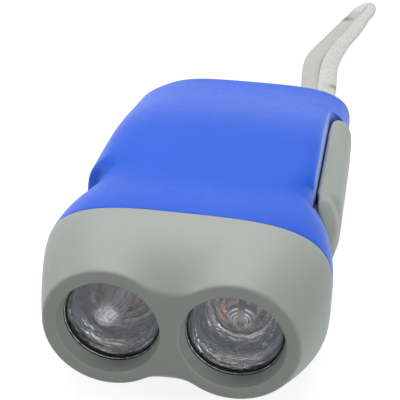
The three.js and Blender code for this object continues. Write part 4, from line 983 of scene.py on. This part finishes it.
def strap_weave(name, shade):
    """Greyish white nylon yarn: soft streaks along the yarns, a painted shadow in the hollow where the
    strands cross, and a darker olive spot.
    """
    graph = Graph(name)
    yarn = graph.noise(2300.0, 4.0, 0.6, (1, 0.28, 1))
    cloud = graph.noise(60.0, 3.0, 0.5)
    pale, dark = ([level * shade for level in tone] for tone in ((232, 232, 228), (208, 208, 203)))
    tint = graph.blend(cloud, linear(*dark), linear(*pale))
    tint = graph.blend(graph.grey(yarn, (0.35, 0.55), (0.65, 0.0)), tint, linear(176, 175, 168))
    # The first spot is painted shadow, the second a darker olive spot.
    for spot, reach, colour in STRAP_DARK_SPOTS:
        away = graph.vector("DISTANCE", graph.place(), row(spot))["Value"]
        spot_mask = graph.grey(graph.math("DIVIDE", away, reach), (0.25, 0.85), (1.0, 0.0))
        tint = graph.blend(spot_mask, tint, linear(*colour))
    return graph.finish(tint, 0.78, Sheen_Weight=0.25, Normal=graph.bump(yarn, 0.00006))


def clear_plastic():
    graph = Graph("clear_acrylic")
    haze = graph.grey(graph.noise(800.0, 3.0), (0.45, 0.0), (0.8, 0.015))
    return graph.finish((0.97, 0.98, 0.99, 1), haze, Transmission_Weight=1.0, IOR=1.47)


def lamp_coords(graph, centre):
    """Millimetres across and up from a lamp's axis, and the same as radius and angle."""
    middle = row((centre[0], 0, centre[1]))
    moved = graph.vector("SUBTRACT", graph.place(), (middle.x, 0, middle.z))[0]
    parts = graph.split(graph.vector("MULTIPLY", moved, (1000, 1000, 1000))[0])
    x, z = parts["X"], parts["Z"]
    return x, z, graph.reach(x, z), graph.math("ARCTAN2", z, x)


def lamp_bowl(name, centre, turn):
    """Metallised bowl with painted reflections: painted rings of light and dark round the axis, painted
    sheen and shade, a painted tan reflection low on the outer wall, and a painted reflection of the LED in
    shards near it.
    """
    graph = Graph(name)
    x, z, radius, angle = lamp_coords(graph, centre)
    around = graph.math("ADD", angle, turn)
    polar = graph.join(graph.times(around, 1.1), graph.times(radius, 0.9), turn)
    streak = graph.noise(1.3, 5.0, 0.6, vector=polar, distortion=0.9)
    drift = graph.scaled(graph.math("SUBTRACT", streak, 0.5), 1.1, radius)
    share = graph.scaled(drift, 1 / BOWL_SPAN, -BOWL_NECK / BOWL_SPAN)
    # Painted reflections: bright glint rings and dark bands in the base colour.
    tint = graph.tones(
        share, (0.0, 110, 108, 118), (0.08, 230, 226, 230), (0.13, 70, 70, 82), (0.36, 170, 166, 176),
        (0.41, 40, 42, 54), (0.45, 255, 255, 255), (0.5, 246, 248, 252), (0.525, 50, 56, 70),
        (0.56, 238, 240, 248), (0.59, 96, 106, 124), (0.72, 70, 82, 102), (0.83, 176, 188, 204),
        (0.92, 80, 90, 106), (0.955, 250, 250, 248), (0.98, 60, 62, 70))
    sheen = graph.noise(2.6, 4.0, 0.7, vector=polar, distortion=2.0)
    # Painted sheen, then painted shade.
    tint = graph.blend(graph.grey(sheen, (0.55, 0.0), (0.62, 0.75)), tint, linear(240, 246, 255))
    tint = graph.blend(graph.grey(sheen, (0.36, 0.85), (0.45, 0.0)), tint, linear(34, 38, 50))
    shards = graph.join(graph.times(around, 2.3), graph.times(radius, 0.8), turn)
    pick, _ = graph.cells(shards, 1.1)
    # Painted reflection of the LED: pale and pinkish shards, with pale glint lines along their edges and
    # pale glint rings.
    broken = graph.tones(
        pick, (0.0, 52, 44, 54), (0.2, 244, 182, 172), (0.42, 150, 144, 158), (0.58, 250, 196, 182),
        (0.74, 48, 52, 70), (0.9, 255, 255, 255))
    line = graph.node("ShaderNodeTexVoronoi", {"Vector": shards, "Scale": 1.1}, feature="DISTANCE_TO_EDGE")
    glint_lines = graph.grey(line.outputs["Distance"], (0.0, 0.9), (0.05, 0.0))
    broken = graph.blend(glint_lines, broken, linear(232, 232, 234))
    ribs = graph.math("SINE", graph.scaled(radius, 13.0, graph.times(streak, 9.0)))
    broken = graph.blend(graph.grey(ribs, (0.55, 0.0), (0.9, 0.4)), broken, linear(226, 224, 228))
    near_led = graph.grey(graph.scaled(share, -8.0, 3.3), (0.0, 0.0), (1.0, 1.0))
    tint = graph.blend(near_led, tint, broken)
    # Painted tan reflection, low on the outer part of the bowl.
    low = graph.grey(graph.scaled(z, -0.4, -2.2), (0.2, 0.0), (0.7, 1.0))
    outer = graph.grey(share, (0.78, 0.0), (0.84, 1.0), (0.93, 1.0), (0.95, 0.0))
    patch = graph.grey(sheen, (0.42, 0.25), (0.55, 0.9))
    painted_tan_reflection = graph.times(graph.times(low, outer), patch)
    tint = graph.blend(painted_tan_reflection, tint, linear(236, 218, 200))
    bright = graph.node("ShaderNodeRGBToBW", {"Color": tint}).outputs[0]
    gloss = graph.grey(bright, (0.2, 0.34), (0.7, 0.08))
    return graph.finish(tint, gloss, Metallic=1.0, Normal=graph.bump(streak, 0.0005))


# What both LED domes share
EPOXY = {"Metallic": 0.8, "Coat_Weight": 0.4}


def led_grain(name, centre):
    """Epoxy dome that breaks up what is behind it into pale grains."""
    graph = Graph(name)
    x, z, _, _ = lamp_coords(graph, centre)
    pick, distance = graph.cells(graph.join(x, z), 2.2)
    tint = graph.tones(
        pick, (0.1, 96, 88, 92), (0.4, 152, 144, 146), (0.7, 196, 192, 194), (0.9, 122, 112, 114))
    edge = graph.grey(distance, (0.15, 0.0), (0.5, 0.6))
    tint = graph.blend(edge, tint, linear(214, 212, 216))
    return graph.finish(tint, 0.4, **EPOXY, Normal=graph.bump(distance, 0.0002))


# Four dark dots of the chip, across and up from the lamp's axis
CHIP_DOTS = ((-1.25, -0.8), (-0.7, -0.5), (-0.85, -1.1), (-0.3, -0.8))


def led_ribbed(name, centre):
    """Epoxy dome over the lead frame: a grey post between curved ribs painted pale and dark as highlights
    and shade, and the chip's dark dots.
    """
    graph = Graph(name)
    x, z, _, _ = lamp_coords(graph, centre)
    across = graph.math("SUBTRACT", x, 0.5)
    high = graph.math("SUBTRACT", z, 0.6)
    ribs = graph.math("SINE", graph.times(graph.reach(across, high), 11.0))
    # Painted highlights and shade: pale and dark rings on the dome.
    tint = graph.tones(
        graph.scaled(ribs, 0.5, 0.5), (0.2, 142, 128, 138), (0.55, 190, 178, 184), (0.8, 246, 244, 246))
    post = graph.grey(graph.math("ABSOLUTE", across), (0.62, 1.0), (0.74, 0.0))
    dust = graph.grey(graph.noise(2600.0, 3.0, 0.6, (1.5, 1, 0.6)), (0.3, 0.4), (0.7, 0.62))
    tint = graph.blend(post, tint, graph.blend(dust, linear(70, 68, 70), linear(150, 146, 148)))
    for dot_x, dot_z in CHIP_DOTS:
        gap = graph.math("ADD", graph.math("POWER", graph.math("SUBTRACT", x, dot_x), 2.0),
                         graph.math("POWER", graph.math("SUBTRACT", z, dot_z), 2.0))
        tint = graph.blend(graph.grey(gap, (0.04, 1.0), (0.07, 0.0)), tint, linear(16, 14, 14))
    ridges = graph.times(ribs, graph.math("SUBTRACT", 1.0, post))
    return graph.finish(tint, 0.4, **EPOXY, Normal=graph.bump(ridges, 0.00008))


def painted_glint_rim(name, metallic):
    """Painted glints: a pale speckled edge of the bowl, where it is metal, or of the lens."""
    graph = Graph(name)
    specks = graph.noise(1400.0, 3.0, 0.6)
    tint = graph.tones(specks, (0.35, 120, 122, 126), (0.55, 250, 251, 252))
    return graph.finish(tint, 0.12, Metallic=metallic, Normal=graph.bump(specks, 0.00004))


MATERIALS = {
    "blue_plastic": casing_blue(),
    "grey_plastic": plastic("grey_shell", (164, 171, 165), 0.96, (0.42, 0.5), 0.000012, 2400.0),
    "clear_lens": clear_plastic(),
    "green_board": board_green(),
    "steel": plain_steel(),
    "nylon": plastic("natural_nylon", (226, 222, 210), 0.94, (0.45, 0.55), 0.00001),
    "copper_wire": copper_wound(),
    "magnet_ferrite": ferrite(),
    "black_plastic": plastic("black_moulding", (46, 47, 50), 0.8, (0.4, 0.55)),
    "red_insulation": plastic("red_insulation", (179, 38, 30), 0.88, (0.35, 0.5)),
    "strap_braid": strap_weave("braided_nylon", 1.0),
}
# The left strand gets a darker copy of the same braid: painted shade.
LEFT_BRAID_SHADED = strap_weave("braided_nylon_left_shaded", 0.9)
LEDS = [led_grain("left_led_epoxy", lamps[0]["centre"]),
        led_ribbed("right_led_epoxy", lamps[1]["centre"])]
BOWLS = [lamp_bowl("left_bowl", lamps[0]["centre"], 0.4),
         lamp_bowl("right_bowl", lamps[1]["centre"], 2.9)]
# Painted glints for the bowls' lips and the lenses' ridges.
PAINTED_GLINT_RIM = painted_glint_rim("painted_glint_rim", 1.0)
PAINTED_LENS_GLINT = painted_glint_rim("lens_painted_glint", 0.0)
MATERIALS["bright_reflector"] = PAINTED_GLINT_RIM
# Distances from the lamp's axis, in metres, beyond which the lens is painted black as shade and the bowl's
# lip takes painted glints, and the bounds of the lens's ridge that takes a painted glint
LENS_SHADE_REACH, BOWL_EDGE = 0.0088, 0.00853
RIDGE_INNER, RIDGE_OUTER = 0.00889, 0.00899


def dress(obj, *materials):
    obj.data.materials.clear()
    for material in materials:
        obj.data.materials.append(material)


def face_reach(face, middle):
    return math.hypot(face.center.x - middle.x, face.center.z - middle.z)


for piece in [o for o in scene.objects if o.type == "MESH" and o.name not in nodes]:
    slot = piece.get("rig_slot")
    if slot:
        dress(piece, MATERIALS[slot])

for part in frame["record"]["subparts"]:
    node = nodes[part["node"]]
    for holder in node.material_slots:
        holder.material = MATERIALS[part["material_slot"]]

dress(left_piece, LEFT_BRAID_SHADED)
for lamp, bowl, epoxy in zip(lamps, BOWLS, LEDS):
    dress(lamp["bowl"], bowl, PAINTED_GLINT_RIM)
    dress(lamp["led"], epoxy)
    # The lens's rim is black: painted shade for the dark gap round its edge; its ridge gets a painted
    # glint.
    dress(lamp["lens"], MATERIALS["clear_lens"], MATERIALS["black_plastic"], PAINTED_LENS_GLINT)
    middle = row((lamp["centre"][0], 0, lamp["centre"][1]))
    # The bowl's lip gets painted glints.
    for face in lamp["bowl"].data.polygons:
        face.material_index = int(face_reach(face, middle) > BOWL_EDGE)
    ridge_rear = middle.y + (LENS_FRONT + 0.45) * MM
    for face in lamp["lens"].data.polygons:
        reach = face_reach(face, middle)
        face.material_index = int(reach > LENS_SHADE_REACH)
        if RIDGE_INNER < reach < RIDGE_OUTER and face.center.y < ridge_rear:
            face.material_index = 2


# Floor and light ---
def seen_directly(graph):
    """One for rays that show the surroundings as they are: from the camera, off gloss or through glass."""
    path = graph.node("ShaderNodeLightPath")
    total = graph.math("ADD", path.outputs["Is Camera Ray"], path.outputs["Is Glossy Ray"])
    return graph.math("MINIMUM", graph.math("ADD", total, path.outputs["Is Transmission Ray"]), 1.0)


def make_floor():
    mesh = bpy.data.meshes.new("floor")
    mesh.from_pydata([(-3, -3, 0), (3, -3, 0), (3, 3, 0), (-3, 3, 0)], [], [(0, 1, 2, 3)])
    floor = add_object("floor", mesh)
    graph = Graph("white_table")
    matte = graph.node("ShaderNodeBsdfDiffuse", {"Color": (0.35, 0.35, 0.35, 1)})
    strength = graph.times(seen_directly(graph), 0.85)
    glow = graph.node("ShaderNodeEmission", {"Color": (1, 1, 1, 1), "Strength": strength})
    both = graph.node("ShaderNodeAddShader", {0: matte.outputs[0], 1: glow.outputs[0]})
    floor.data.materials.append(graph.show(both))


def make_world():
    """Even white surroundings, which light the torch more weakly than they look."""
    graph = Graph("studio", bpy.data.worlds, "ShaderNodeOutputWorld")
    level = graph.scaled(seen_directly(graph), 0.8, 0.2)
    background = graph.node("ShaderNodeBackground", {"Color": (1, 1, 1, 1), "Strength": level})
    scene.world = graph.show(background)


# Name, place, target, side and power of each light
LIGHTS = (("overhead", (-0.1, 0.3, 0.85), (0, 0, 0), 0.9, 6.8),
          ("right_side", (0.85, -0.5, 0.3), (0, 0, 0.02), 0.6, 3.0),
          ("left_side", (-0.88, -0.1, 0.35), (0, 0, 0.02), 0.6, 2.7))


def make_light(name, place, target, side, power):
    data = bpy.data.lights.new(name, "AREA")
    data.shape = "RECTANGLE"
    data.size = data.size_y = side
    data.energy = power
    light = add_object(name, data)
    light.location = place
    light.rotation_euler = (Vector(target) - Vector(place)).to_track_quat("-Z", "Y").to_euler()


make_floor()
make_world()
for settings in LIGHTS:
    make_light(*settings)

scene.view_settings.view_transform = "Standard"
